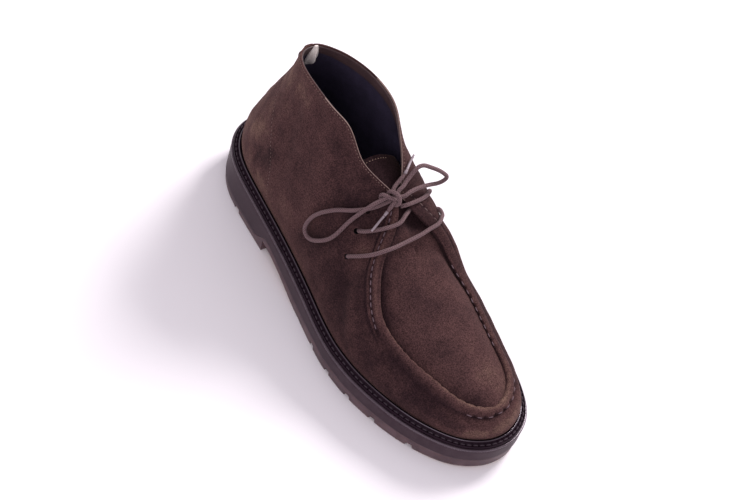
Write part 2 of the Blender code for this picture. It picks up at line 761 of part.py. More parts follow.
def route(points, step):
    """Points every "step" or so along a smooth curve through the given ones."""
    points = np.asarray(points, float)
    fine = spline(points, np.linspace(0, len(points) - 1, 40 * len(points)))
    run = np.concatenate([[0.0], np.cumsum(np.linalg.norm(np.diff(fine, axis=0), axis=1))])
    count = max(3, int(round(run[-1] / step)) + 1)
    marks = np.linspace(0.0, run[-1], count)
    return np.column_stack([np.interp(marks, run, fine[:, k]) for k in range(3)])


def make_cord(name, collection, points, diameter, finish, step=CORD_STEP):
    """A round cord along a route."""
    curve = bpy.data.curves.new(name, "CURVE")
    curve.dimensions = "3D"
    curve.bevel_depth = diameter / 2 * MM
    curve.bevel_resolution = 2
    curve.use_fill_caps = True
    line = to_frame(route(points, step))
    strand = curve.splines.new("POLY")
    strand.points.add(len(line) - 1)
    for knot, place in zip(strand.points, line):
        knot.co = (*place, 1.0)
        knot.radius = 1.0
    strand.use_smooth = True
    obj = bpy.data.objects.new(name, curve)
    collection.objects.link(obj)
    curve.materials.append(material(finish))
    return obj


def make_lace(parts):
    for name, points in LACE.items():
        make_cord(name, parts, points, CORD_D, "lace")
    turns = np.linspace(0.0, KNOT_TURNS, int(12 * KNOT_TURNS))
    u, x, z = KNOT
    wraps = [
        (
            u + (turn - KNOT_TURNS / 2) * KNOT_PITCH,
            x + KNOT_RADIUS * math.cos(2 * math.pi * turn),
            z + KNOT_RADIUS * math.sin(2 * math.pi * turn),
        )
        for turn in turns
    ]
    make_cord("lace_knot", parts, wraps, CORD_D, "lace", 1.4)


def make_heel_strip(parts):
    far = STRIP_GAP + HEEL_STRIP_WALL
    overlay("heel_strip", parts, HEEL_STRIP_ROWS, HEEL_STRIP_RISE, STRIP_GAP, far, 5, 6, "suede")


def make_pull_tab(parts):
    far = -WALL - STRIP_GAP
    overlay("pull_tab", parts, PULL_TAB_ROWS, PULL_TAB_RISE, far - PULL_TAB_WALL, far, 3, 8, "tab")


def build():
    clear_scene()
    parts = new_collection(NAME)
    cutters = new_collection("cutters")
    make_outsole(parts, cutters)
    make_midsole(parts)
    make_welt(parts)
    make_insole(parts)
    upper = make_upper(parts, cutters)
    make_tongue(parts, upper)
    make_heel_strip(parts)
    make_pull_tab(parts)
    make_lace(parts)


build()
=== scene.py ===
"""Looks of an ankle-high moc-toe derby shoe, a right shoe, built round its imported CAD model.

The tables are in millimetres, as in the CAD source: "u" runs from the back of the sole towards
the toe, "x" across the shoe and "z" up from the floor. to_frame() turns them into the frame's
metres, where the toe points to -Y and the medial side is +X.
"""

import math

import bpy
import numpy as np
from mathutils import Matrix, Vector
from mathutils.kdtree import KDTree


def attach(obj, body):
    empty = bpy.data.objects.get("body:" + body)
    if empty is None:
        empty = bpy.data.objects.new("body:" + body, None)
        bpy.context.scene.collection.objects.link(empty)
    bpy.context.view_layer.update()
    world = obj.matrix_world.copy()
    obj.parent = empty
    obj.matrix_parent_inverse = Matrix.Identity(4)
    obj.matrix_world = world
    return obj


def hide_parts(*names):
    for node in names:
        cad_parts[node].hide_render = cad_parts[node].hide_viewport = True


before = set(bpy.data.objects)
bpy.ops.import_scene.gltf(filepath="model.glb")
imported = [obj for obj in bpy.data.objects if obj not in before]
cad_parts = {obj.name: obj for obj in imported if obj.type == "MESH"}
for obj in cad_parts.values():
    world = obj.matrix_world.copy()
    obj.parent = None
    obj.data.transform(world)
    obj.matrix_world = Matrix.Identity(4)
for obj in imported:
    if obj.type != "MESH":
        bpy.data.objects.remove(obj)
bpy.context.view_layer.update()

MM = 0.001
BODY = "root"

# ---- driving sizes, in millimetres, the same as in the CAD source ----
SOLE_LENGTH = 301.0
SOLE_CENTRE_X = -3.1  # middle of the sole's width, in the tables' x
FIT_GAP = 0.3  # clearance between neighbouring pieces
HEEL_STACK = 30.3  # floor to the top edge of the midsole, under the heel
FORE_STACK = 20.3  # the same under the ball
TOE_SPRING = 2.0
SPRING_START = 248.0
HEEL_END = 30.0  # the sole drops from the heel height to the forefoot height
BALL_START = 175.0
BREAST = 87.0  # front face of the heel block
ARCH_END = 152.0  # where the waist comes down to the floor again
ARCH_HEIGHT = 10.5
TREAD_HEEL = 6.0  # thickness of the gum layer
TREAD_WAIST = 5.0
TREAD_FORE = 9.0
GROOVE_DEPTH = 4.0
WELT_EDGE = 1.3  # the midsole's rim shows this far outside the welt
WELT_TOP = 2.3  # welt's flat, above the midsole's rim
FEATHER = 7.1  # the upper leaves the welt this far inside the sole's edge
SHELF = 10.5  # inner edge of the welt
INSOLE_TOP = 4.6  # above the midsole's rim
WALL = 2.0  # suede and lining together
RIDGE_DROP = 1.8  # the apron lies this much below the crest of its seam
APRON_WALL = 1.7  # apron and tongue, which are one skin
UNDER = 1.2  # the tongue stays this much under the suede of the flaps
EYELET_R = 2.2
PUNCH_R = EYELET_R - 0.15
PUNCH = (-5.0, 3.0)  # the punches reach this deep under the upper's face, and this far over it
CORD_D = 2.8
BELOW = -2.0  # cutters of the tread start this far under the floor

# The upper's sections, heel to toe, one table for each side. "u" and "x" are on the sole's
# outline. "top" is the upper's upper edge there: collar, then facing, then the apron's seam.
# "low" and "high" swell the wall outwards from the feather and from the top, at their heights.
LATERAL = [
    # u, x, top_u, top_x, top_z, low, low_z, high, high_z
    (6.0, -19.0, 35.5, -6.5, 133.8, 6.8, 58.0, 3.8, 98.0),
    (20.0, -32.0, 42.0, -13.0, 135.0, 6.0, 57.0, 4.0, 98.0),
    (38.0, -39.0, 54.0, -18.5, 137.6, 6.0, 56.0, 4.5, 98.0),
    (62.0, -42.4, 73.0, -21.5, 139.8, 6.0, 56.0, 5.0, 100.0),
    (88.0, -44.7, 93.0, -21.2, 139.3, 5.5, 56.0, 6.0, 99.0),
    (112.0, -47.1, 108.0, -18.3, 136.0, 5.0, 54.0, 9.0, 97.0),
    (130.0, -49.5, 120.0, -15.7, 123.0, 5.0, 50.0, 12.0, 92.0),
    (146.0, -52.1, 131.0, -10.5, 113.5, 5.0, 47.0, 16.0, 91.0),
    (160.0, -54.8, 148.0, 1.0, 103.5, 5.0, 44.0, 20.0, 92.0),
    (174.0, -57.2, 160.5, -5.5, 92.0, 5.0, 42.0, 17.0, 84.0),
    (188.0, -58.8, 174.0, -21.5, 79.5, 4.8, 41.0, 11.5, 76.0),
    (202.0, -58.7, 188.0, -30.5, 67.0, 4.5, 39.0, 9.0, 65.5),
    (216.0, -57.3, 204.0, -35.0, 56.8, 4.2, 37.0, 8.0, 56.5),
    (238.0, -52.2, 229.0, -32.5, 51.2, 4.0, 35.0, 8.5, 51.0),
    (260.0, -44.0, 250.0, -26.5, 49.4, 4.0, 34.0, 8.0, 48.8),
    (278.0, -33.7, 267.0, -21.0, 48.5, 4.0, 33.5, 7.5, 47.6),
    (291.0, -22.0, 278.5, -13.5, 47.6, 4.0, 33.0, 6.5, 46.2),
    (299.0, -7.5, 284.2, -4.8, 46.6, 3.6, 33.0, 5.5, 45.0),
]
MEDIAL = [
    # u, x, top_u, top_x, top_z, low, low_z, high, high_z
    (6.0, 21.5, 35.5, 7.5, 133.0, 8.5, 58.0, 8.0, 100.0),
    (20.0, 33.8, 42.0, 13.8, 133.2, 8.5, 57.0, 8.0, 100.0),
    (38.0, 37.8, 54.0, 18.5, 135.6, 7.5, 56.0, 6.0, 100.0),
    (62.0, 38.1, 73.0, 21.6, 138.8, 8.0, 56.0, 5.0, 100.0),
    (88.0, 36.2, 93.0, 22.3, 139.3, 9.0, 56.0, 6.0, 99.0),
    (112.0, 35.4, 108.0, 20.3, 136.0, 9.0, 54.0, 11.0, 98.0),
    (130.0, 36.4, 119.0, 18.0, 126.5, 8.0, 54.0, 20.0, 101.0),
    (146.0, 38.4, 132.0, 14.0, 115.0, 7.5, 53.0, 29.0, 102.0),
    (160.0, 41.5, 148.0, 4.6, 103.5, 7.0, 53.0, 41.0, 105.0),
    (174.0, 45.3, 160.5, 13.0, 93.5, 6.5, 50.0, 30.0, 98.5),
    (188.0, 48.7, 174.0, 24.0, 81.0, 5.0, 46.0, 16.5, 85.5),
    (202.0, 51.2, 188.0, 30.0, 67.0, 5.0, 40.0, 9.5, 67.0),
    (216.0, 52.5, 204.0, 35.0, 56.8, 4.0, 37.0, 8.0, 56.5),
    (238.0, 51.9, 229.0, 33.0, 51.2, 2.7, 35.0, 6.0, 51.0),
    (260.0, 47.3, 250.0, 29.5, 49.4, 2.3, 34.0, 5.5, 48.8),
    (278.0, 40.3, 267.0, 25.3, 48.5, 2.5, 33.5, 5.5, 47.6),
    (291.0, 30.5, 278.5, 17.0, 47.6, 3.5, 33.0, 6.5, 46.2),
    (299.0, 17.0, 284.2, 8.0, 46.6, 3.6, 33.0, 5.5, 45.0),
]
# The two sections on the middle line, with the same columns.
BACK = (0.0, 0.3, 34.0, 0.7, 133.6, 8.0, 59.0, 5.5, 100.0)
TOE = (SOLE_LENGTH, 5.0, 285.3, 1.5, 46.4, 3.5, 33.0, 5.2, 44.8)
THROAT_ROW = 9  # the collar ends and the facing begins at this row of the table
APRON_ROW = 11  # the apron's back edge
# Height of the apron's middle above its seam, at the rows from APRON_ROW to the toe.
APRON_CROWN = (4.5, 9.0, 12.0, 10.3, 7.6, 5.2, 3.4, 1.8, 0.8)
APRON_ROUND = 2.2  # how square the apron's crown is: 2 is a parabola

# Punched eyelets: position along each table of sections, and rise from feather (0) to edge (1).
LATERAL_EYELETS = [(9.1, 0.5), (8.85, 0.64), (8.75, 0.775)]
MEDIAL_EYELETS = [(9.85, 0.7), (9.0, 0.7), (8.3, 0.74)]

# Tongue: along the shoe, middle line, half width, height of the middle, drop at the edges.
TONGUE = [
    # u, x, half, z, drop
    (186.0, 1.0, 18.0, 74.5, 4.0),
    (176.0, 1.3, 20.5, 80.5, 5.5),
    (165.0, 2.0, 22.0, 87.5, 7.5),
    (152.0, 2.5, 22.0, 96.0, 9.0),
    (140.0, 2.0, 22.0, 102.0, 9.5),
    (128.0, 1.0, 21.5, 107.0, 10.0),
    (117.5, 0.0, 21.0, 111.2, 10.0),
]

# Channels of the tread, as lines (u, x) with a width. The heel has a broad rear pad with a bar
# running forward from it between two blocks.
HEEL_CHANNEL = 6.0
HEEL_CHANNELS = [
    [(51.0, -60.0), (49.0, -8.0)],
    [(51.0, 60.0), (49.0, 9.0)],
    [(46.5, -9.5), (92.0, -9.5)],
    [(46.5, 10.5), (92.0, 10.5)],
]
# The forefoot has slanted blocks along its inner side, squarer ones along its outer side, lugs
# down the middle and one block round the toe.
CHANNEL = 4.8
CHANNEL_FLARE = 1.4  # wider by this at its mouth, and narrower by half of it at its bottom
PITCH = 22.0  # from one cross channel to the next
CROSS_COUNT = 4
CROSS_LAT = 170.0
CROSS_MED = 178.0
SLANT_LAT = 2.0  # how far the inner end of a cross channel lies towards the toe
SLANT_MED = -11.0
LONG_LAT = -19.0
LONG_MED = 17.0
LONG_SWING = 3.0  # the long channels zigzag by this much
LONG_START = 158.0
EDGE = 70.0  # beyond the sole's edge
TOE_CHANNEL = [
    (263.0, -EDGE), (265.0, -19.0), (273.0, -11.0), (276.0, 1.0), (272.0, 12.0), (257.0, 20.0),
    (268.0, EDGE),
]

# Strips that follow the upper's back: middle and half width in table rows, rise of the lower
# and the upper end, thickness. The pull tab lies against the lining, a little to the medial side.
HEEL_STRIP_ROWS = (0.0, 0.42)
HEEL_STRIP_RISE = (0.85, 0.985)
HEEL_STRIP_WALL = 1.1
PULL_TAB_ROWS = (-0.5, 0.4)
PULL_TAB_RISE = (0.8, 0.985)
PULL_TAB_WALL = 0.9
STRIP_GAP = 0.5  # from the strips to the upper's wall

# The lace, as points (u, x, z) of its middle line. The loops and ends repeat the CAD source's
# routes; the bars have a few points less or more than there where they enter the eyelets.
LACE = {
    "lace_bar_lower": [
        (166.0, -27.0, 78.2), (171.3, -19.4, 84.9), (172.4, -12.0, 86.4), (172.2, -3.0, 87.2),
        (171.6, 8.8, 88.0), (170.4, 17.0, 88.6), (169.0, 24.6, 88.6), (165.4, 29.9, 88.2),
        (162.8, 32.3, 87.5),
    ],
    "lace_bar_upper": [
        (154.2, -21.0, 86.5), (159.5, -13.8, 91.5), (161.5, -6.7, 93.7), (161.1, -2.0, 94.6),
        (158.8, 2.3, 95.4), (156.2, 6.7, 94.6), (153.5, 12.0, 93.1), (151.4, 19.2, 91.8),
    ],
    "lace_bar_top": [
        (152.8, 2.1, 98.9), (154.1, 4.6, 100.1), (154.4, 9.6, 100.3), (153.9, 16.2, 99.7),
        (152.4, 22.4, 98.6), (149.8, 27.7, 96.9), (147.2, 30.9, 94.7),
    ],
    "lace_loop_lateral": [
        (149.2, -2.5, 104.5), (147.1, -5.6, 104.9), (146.2, -8.8, 103.6), (145.3, -13.0, 101.0),
        (144.6, -17.8, 97.7), (143.2, -22.8, 92.0), (141.6, -28.0, 84.6), (141.0, -33.6, 76.2),
        (138.6, -38.2, 69.0), (132.7, -41.2, 62.2), (126.2, -42.2, 57.6), (120.6, -41.8, 57.8),
        (118.4, -40.6, 62.4), (119.8, -38.6, 70.5), (124.3, -35.4, 79.0), (131.5, -30.4, 87.0),
        (136.9, -26.0, 90.5), (141.1, -20.7, 93.1), (143.6, -16.6, 95.0), (145.7, -12.3, 97.2),
        (147.5, -6.9, 100.4), (148.6, -3.1, 102.8),
    ],
    "lace_loop_medial": [
        (151.2, 4.9, 106.6), (150.4, 9.6, 107.4), (149.4, 21.6, 106.2), (149.2, 32.6, 103.4),
        (149.6, 37.8, 104.6), (149.6, 39.2, 107.4), (148.2, 37.0, 110.2), (146.1, 32.5, 113.5),
        (143.6, 27.0, 116.2), (142.1, 22.5, 118.2), (141.8, 18.0, 117.9), (142.8, 13.5, 114.7),
        (144.8, 8.0, 110.8), (146.2, 5.2, 109.4),
    ],
    "lace_end_upper": [
        (144.4, -0.2, 106.0), (141.4, 5.0, 108.6), (139.0, 11.4, 112.6), (134.6, 17.4, 114.0),
        (130.2, 23.6, 115.4),
    ],
    "lace_end_lower": [
        (151.2, -3.0, 103.8), (152.3, -6.1, 101.3), (153.4, -9.5, 98.4), (154.7, -13.9, 95.3),
        (156.2, -18.2, 92.9), (157.2, -21.8, 90.3),
    ],
}
KNOT = (149.2, 0.6, 107.1)  # middle of the knot


# ---- curves and heights ----
def unit(vectors):
    """The same directions, one long."""
    return vectors / np.linalg.norm(vectors, axis=-1, keepdims=True)


def bell(distance, half):
    """1 at no distance, and a smooth fall over about the half width."""
    return np.exp(-((distance / half) ** 2))


def ease(value, start, end):
    """0 before start, 1 after end, and a smooth step between."""
    f = np.clip((np.asarray(value, float) - start) / (end - start), 0.0, 1.0)
    return f * f * (3.0 - 2.0 * f)


def spline(rows, at, closed=False):
    """Smooth curve through rows at knots 0, 1, 2 and so on, read at the knot values "at"."""
    rows = np.asarray(rows, float)
    n = len(rows)
    slopes = np.zeros((n, n))
    right = np.zeros_like(rows)
    for i in range(n):
        for k in (i - 1, i + 1):
            if closed or 0 <= k < n:
                slopes[i, i] += 2.0
                slopes[i, k % n] += 1.0
                right[i] += 3.0 * (k - i) * (rows[k % n] - rows[i])
    slopes = np.linalg.solve(slopes, right)
    at = np.asarray(at, float)
    first = np.floor(at).astype(int)
    if not closed:
        first = np.clip(first, 0, n - 2)
    f = (at - first)[:, None]
    a, b = first % n, (first + 1) % n
    return (
        rows[a] * (1 + 2 * f) * (1 - f) ** 2
        + slopes[a] * f * (1 - f) ** 2
        + rows[b] * f**2 * (3 - 2 * f)
        + slopes[b] * f**2 * (f - 1)
    )


def spring(u):
    """How far the toe is lifted off the floor."""
    return TOE_SPRING * np.clip((u - SPRING_START) / (SOLE_LENGTH - SPRING_START), 0.0, None) ** 2


def rim_z(u):
    """Top edge of the midsole."""
    return HEEL_STACK + (FORE_STACK - HEEL_STACK) * ease(u, HEEL_END, BALL_START) + spring(u)


def arch_z(u):
    """Underside of the waist, ahead of the heel's breast."""
    return ARCH_HEIGHT * (1.0 - ease(u, BREAST, ARCH_END))


def tread_top(u):
    """Where the gum layer meets the midsole."""
    heel = TREAD_HEEL
    ahead = arch_z(u) + TREAD_WAIST + (TREAD_FORE - TREAD_WAIST) * ease(u, 110.0, ARCH_END + 15.0)
    return heel + (ahead - heel) * ease(u, BREAST - 12.0, BREAST + 4.0) + spring(u)


# ---- the sections as one closed round: back, lateral side, toe, medial side ----
ROWS = len(LATERAL)
TOE_KNOT = ROWS + 1
KNOTS = 2 * ROWS + 2
SECTIONS = np.array([BACK] + LATERAL + [TOE] + MEDIAL[::-1], float)
OUTLINE = SECTIONS[:, 0:2]
TOPS = SECTIONS[:, 2:5]
SWELL = SECTIONS[:, 5:9]


def outline(at, inset=0.0):
    """Points (u, x) of the sole's outline, moved inwards by inset, and the outward directions."""
    step = 0.01
    points = spline(OUTLINE, at, closed=True)
    along = unit(spline(OUTLINE, at + step, closed=True) - spline(OUTLINE, at - step, closed=True))
    outward = np.stack([along[:, 1], -along[:, 0]], axis=1)
    return points - outward * inset, outward


def top_edge(at):
    """Points (u, x, z) of the upper's top edge: one curve for the collar, one for the front."""
    at = np.mod(at, KNOTS)
    lateral, medial = THROAT_ROW, KNOTS - THROAT_ROW
    front = (at >= lateral) & (at <= medial)
    collar_rows = np.vstack([TOPS[medial:], TOPS[: lateral + 1]])
    points = np.empty((len(at), 3))
    points[front] = spline(TOPS[lateral : medial + 1], at[front] - lateral)
    points[~front] = spline(collar_rows, np.mod(at[~front] - medial, KNOTS))
    return points


def upper_point(at, rise):
    """Outer face of the upper: "at" goes round the shoe, "rise" from feather (0) to top (1)."""
    at = np.asarray(at, float)
    rise = np.broadcast_to(np.asarray(rise, float), at.shape)[:, None]
    feather, outward = outline(at, FEATHER)
    low, low_z, high, high_z = spline(SWELL, at, closed=True).T
    top = top_edge(at)
    start = np.column_stack([feather, rim_z(feather[:, 0]) + WELT_TOP + FIT_GAP])
    lower = np.column_stack([feather + outward * low[:, None], low_z])
    upper = np.column_stack([top[:, :2] + outward * high[:, None], high_z])
    return (
        start * (1 - rise) ** 3
        + 3 * lower * rise * (1 - rise) ** 2
        + 3 * upper * rise**2 * (1 - rise)
        + top * rise**3
    )


def upper_normal(at, rise):
    """Outward unit normals of upper_point."""
    at = np.asarray(at, float)
    rise = np.broadcast_to(np.asarray(rise, float), at.shape)
    step = 0.02
    round_it = upper_point(at + step, rise) - upper_point(at - step, rise)
    up = upper_point(at, np.clip(rise + step, 0.0, 1.0)) - upper_point(at, np.clip(rise - step, 0.0, 1.0))
    return unit(np.cross(round_it, up))


def off_wall(at, rise, height):
    """Points that stand that far off the upper's face, or under it where it is negative."""
    return upper_point(at, rise) + upper_normal(at, rise) * np.reshape(height, (-1, 1))


def to_frame(points):
    """(u, x, z) in millimetres to the shoe's own frame in metres."""
    u, x, z = np.asarray(points, float).T
    return np.column_stack([x - SOLE_CENTRE_X, SOLE_LENGTH / 2 - u, z]) * MM


def frame_way(vectors):
    """Directions in the tables' (u, x, z) turned into the frame's axes."""
    return np.stack([vectors[:, 1], -vectors[:, 0], vectors[:, 2]], -1)


# ---- making pieces ----
def grid_faces(rows, columns, wrap_rows=False, wrap_columns=False):
    """Quads of a grid of points, row after row."""
    i = np.arange(rows if wrap_rows else rows - 1)[:, None]
    j = np.arange(columns if wrap_columns else columns - 1)[None, :]
    below, right = (i + 1) % rows, (j + 1) % columns
    quads = [i * columns + j, i * columns + right, below * columns + right, below * columns + j]
    return np.stack([np.broadcast_to(q, (i.shape[0], j.shape[1])) for q in quads], -1).reshape(-1, 4)


def tube_faces(rings, sides):
    """Faces of a tube of rings, closed at both ends."""
    last = (rings - 1) * sides
    ends = [range(sides)[::-1], range(last, last + sides)]
    return [*grid_faces(rings, sides, wrap_columns=True), *ends]


def circle(sides, one, other):
    """Points of a circle with radius 1, in the plane of two directions."""
    turn = np.arange(sides) / sides * 2 * math.pi
    return np.outer(np.cos(turn), one) + np.outer(np.sin(turn), other)


def turn_outwards(obj):
    """Flips a closed mesh whose faces point in."""
    mesh = obj.data
    mesh.calc_loop_triangles()
    corners = np.empty(len(mesh.loop_triangles) * 3, np.int32)
    mesh.loop_triangles.foreach_get("vertices", corners)
    places = np.empty(len(mesh.vertices) * 3)
    mesh.vertices.foreach_get("co", places)
    a, b, c = places.reshape(-1, 3)[corners.reshape(-1, 3)].transpose(1, 0, 2)
    if np.einsum("ij,ij->i", a, np.cross(b, c)).sum() < 0:
        mesh.flip_normals()
    return obj


def add_mesh(name, points, faces, finish):
    """A closed mesh in the frame's metres."""
    mesh = bpy.data.meshes.new(name)
    mesh.from_pydata(np.asarray(points, float).tolist(), [], [tuple(map(int, f)) for f in faces])
    mesh.materials.append(finish)
    obj = bpy.data.objects.new(name, mesh)
    bpy.context.scene.collection.objects.link(obj)
    return turn_outwards(obj)


def add_piece(name, points, faces, finish, tone=None, uv=None):
    """A smooth piece that rides on the shoe, with each point's tone for its finish."""
    obj = add_mesh(name, points, faces, finish)
    mesh = obj.data
    mesh.shade_smooth()
    if tone is not None:
        attribute = mesh.attributes.new("tone", "FLOAT", "POINT")
        attribute.data.foreach_set("value", np.asarray(tone, np.float32).ravel())
    if uv is not None:
        corners = np.empty(len(mesh.loops), np.int32)
        mesh.loops.foreach_get("vertex_index", corners)
        layer = mesh.uv_layers.new(name="UVMap")
        layer.data.foreach_set("uv", np.asarray(uv, np.float32)[corners].ravel())
    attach(obj, BODY)
    return obj


def second_finish(obj, finish, there):
    """Gives another finish to the faces where the mask is true."""
    obj.data.materials.append(finish)
    obj.data.polygons.foreach_set("material_index", there.astype(np.int32))


def ring_piece(name, rings, finish, tone=None):
    """A closed skin of rings that run round the shoe, in the tables' millimetres."""
    faces = grid_faces(len(rings), len(rings[0]), wrap_rows=True, wrap_columns=True)
    return add_piece(name, to_frame(np.vstack(rings)), faces, finish, tone)


def closed_shell(name, front, back, finish, tone=None):
    """A closed sheet between two grids of the same size, (rows, columns, 3)."""
    rows, columns = front.shape[:2]
    count = rows * columns
    index = np.arange(count).reshape(rows, columns)
    ring = np.concatenate([index[0, :-1], index[:-1, -1], index[-1, :0:-1], index[:0:-1, 0]])
    after = np.roll(ring, -1)
    quads = grid_faces(rows, columns)
    sides = np.stack([ring, ring + count, after + count, after], -1)
    points = np.vstack([front.reshape(-1, 3), back.reshape(-1, 3)])
    faces = np.vstack([quads, quads[:, ::-1] + count, sides])
    return add_piece(name, points, faces, finish, None if tone is None else np.stack([tone, tone]))


def run_along(points):
    """Distance travelled to each point of a line."""
    return np.concatenate([[0.0], np.cumsum(np.linalg.norm(np.diff(points, axis=0), axis=1))])


def even(points, step=None, count=None):
    """A line read again at even steps."""
    run = run_along(points)
    if count is None:
        count = max(2, int(round(run[-1] / step)) + 1)
    marks = np.linspace(0.0, run[-1], count)
    return np.column_stack([np.interp(marks, run, column) for column in points.T])


def smooth_route(points, step):
    """Points every step along a smooth curve through the given ones."""
    return even(spline(points, np.linspace(0, len(points) - 1, 40 * len(points))), step)


def tube(name, line, radius, finish, sides=14):
    """A round tube along a line in millimetres of the tables, with a radius for each point."""
    line = to_frame(line) / MM
    along = unit(np.gradient(line, axis=0))
    side = np.cross(along[0], (0.3, 0.2, 1.0))
    rings = []
    for middle, way, wide in zip(line, along, np.broadcast_to(radius, len(line))):
        side = unit(side - way * side.dot(way))
        rings.append(middle + circle(sides, side, np.cross(way, side)) * wide)
    uv = np.column_stack([np.repeat(run_along(line), sides), np.tile(np.arange(sides) / sides, len(line))])
    return add_piece(name, np.vstack(rings) * MM, tube_faces(len(line), sides), finish, uv=uv)


STITCH_SIDES = 6
STITCH_SINK = 1.1  # a stitch's ends go into the suede by this share of its radius
STITCH_RINGS = ((-0.5, 0.25), (-0.42, 0.8), (-0.2, 1.0), (0.2, 1.0), (0.42, 0.8), (0.5, 0.25))


def stitch_row(name, centres, along, outward, finish, length, radius, lift):
    """Separate stitches as one mesh: short rounded threads, given in the tables' millimetres."""
    points, faces = [], []
    shape = tube_faces(len(STITCH_RINGS), STITCH_SIDES)
    for centre, run, out in zip(to_frame(centres) / MM, unit(frame_way(along)), frame_way(outward)):
        out = unit(out - run * out.dot(run))
        base = len(points) * STITCH_SIDES
        for place, width in STITCH_RINGS:
            sink = STITCH_SINK * radius * (2 * abs(place)) ** 3
            middle = centre + run * place * length + out * (lift - sink)
            points.append(middle + circle(STITCH_SIDES, np.cross(run, out), out) * radius * width)
        faces += [[base + k for k in face] for face in shape]
    add_piece(name, np.vstack(points) * MM, faces, finish)


def waves(points, length, seed, count=7):
    """Smooth waves of about that length over points in millimetres, from -1 to 1."""
    rng = np.random.default_rng(seed)
    total = np.zeros(points.shape[:-1])
    for _ in range(count):
        way = unit(rng.normal(size=3))
        pace = 2 * math.pi / (length * rng.uniform(0.7, 1.5))
        total += np.sin(points @ way * pace + rng.uniform(0, 2 * math.pi))
    return total / math.sqrt(count)


def near_line(points, line):
    """Distance of each point to a line of points."""
    best = np.full(len(points), np.inf)
    for a, b in zip(line[:-1], line[1:]):
        run = b - a
        t = np.clip((points - a) @ run / run.dot(run), 0.0, 1.0)
        best = np.minimum(best, np.linalg.norm(points - a - t[:, None] * run, axis=1))
    return best


# ---- finishes ----
class Finish:
    """A material with a Principled shader, and short calls for the nodes around it."""

    def __init__(self, name, **sockets):
        self.material = bpy.data.materials.new(name)
        self.material.use_nodes = True
        self.tree = self.material.node_tree
        self.shader = self.tree.nodes["Principled BSDF"]
        self.place = self.add("ShaderNodeTexCoord").outputs["Object"]
        for socket, value in sockets.items():
            self.shader.inputs[socket.replace("_", " ")].default_value = value

    def shine(self, weight, roughness, tint):
        """Sheen of a fibrous surface."""
        for label, value in (("Weight", weight), ("Roughness", roughness), ("Tint", tint)):
            self.shader.inputs[f"Sheen {label}"].default_value = value

    def fill(self, sockets, values):
        """Links the values that are sockets themselves, and sets the others."""
        for socket, value in zip(sockets, values):
            if isinstance(value, bpy.types.NodeSocket):
                self.tree.links.new(value, socket)
            elif socket.type == "RGBA":
                socket.default_value = (*value, 1.0)
            else:
                socket.default_value = value

    def add(self, kind, inputs=None, **settings):
        node = self.tree.nodes.new(kind)
        for label, value in settings.items():
            setattr(node, label, value)
        inputs = inputs or {}
        self.fill([node.inputs[label] for label in inputs], inputs.values())
        return node

    def noise(self, size, detail=2.0, roughness=0.5, place=None):
        """Noise with features of about that size in millimetres, from 0 to 1."""
        inputs = {"Vector": place or self.place, "Scale": 1.0 / (size * MM)}
        inputs |= {"Detail": detail, "Roughness": roughness}
        return self.add("ShaderNodeTexNoise", inputs).outputs["Fac"]

    def ramp(self, value, low, high, start=0.0, end=1.0):
        inputs = {"Value": value, "From Min": low, "From Max": high, "To Min": start, "To Max": end}
        return self.add("ShaderNodeMapRange", inputs, interpolation_type="SMOOTHSTEP").outputs["Result"]

    def math(self, operation, a, b=0.0):
        node = self.add("ShaderNodeMath", operation=operation)
        self.fill(node.inputs, (a, b))
        return node.outputs["Value"]

    def total(self, start, *shares):
        """A start, which may be a socket, plus a share of each value."""
        for value, share in shares:
            start = self.math("ADD", start, self.math("MULTIPLY", value, share))
        return start

    def mix(self, factor, a, b, blend="MIX"):
        node = self.add("ShaderNodeMix", data_type="RGBA", blend_type=blend)
        sockets = [s for s in node.inputs if s.name in ("Factor", "A", "B") and s.enabled]
        self.fill(sockets, (factor, a, b))
        return next(s for s in node.outputs if s.enabled)

    def split(self, vector):
        """X, Y and Z of a vector."""
        return self.add("ShaderNodeSeparateXYZ", {"Vector": vector}).outputs

    def bump(self, height, distance, strength, under=None):
        inputs = {"Height": height, "Distance": distance * MM, "Strength": strength}
        node = self.add("ShaderNodeBump", inputs)
        if under is not None:
            self.tree.links.new(under, node.inputs["Normal"])
        return node.outputs["Normal"]

    def done(self, colour, normal, **others):
        """Links the shader's colour, normal and other sockets, and gives the material."""
        for label, value in {"Base Color": colour, "Normal": normal, **others}.items():
            self.tree.links.new(value, self.shader.inputs[label])
        return self.material


def scaled(colour, factor):
    return tuple(min(1.0, c * factor) for c in colour)


def suede(name, dark, middle, light):
    """Brushed suede: cloudy tone, a short nap that catches light, and fine grain."""
    made = Finish(name, Roughness=0.95, Specular_IOR_Level=0.08)
    made.shine(0.10, 0.4, (0.85, 0.52, 0.46, 1.0))
    clouds = made.noise(24.0, 3.0, 0.5)
    patches = made.noise(6.0, 3.0, 0.6)
    brushed = made.add("ShaderNodeMapping", {"Vector": made.place, "Scale": (1.0, 0.55, 1.0)})
    brush = made.noise(1.5, 3.0, 0.65, brushed.outputs["Vector"])
    grain = made.noise(0.8, 2.0, 0.8)
    # the tone attribute brings each piece's uneven tone together with its painted light and shade
    tone = made.add("ShaderNodeAttribute", attribute_name="tone").outputs["Fac"]
    level = made.total(0.055, (clouds, 0.16), (patches, 0.25), (brush, 0.36), (tone, 0.45))
    base = made.mix(made.ramp(level, 0.1, 0.62), dark, middle)
    base = made.mix(made.ramp(level, 0.5, 1.15), base, light)
    colour = made.mix(1.0, base, made.ramp(grain, 0.28, 0.72, 0.42, 1.65), "MULTIPLY")
    return made.done(colour, made.bump(grain, 0.16, 0.75, made.bump(brush, 0.32, 0.6)))


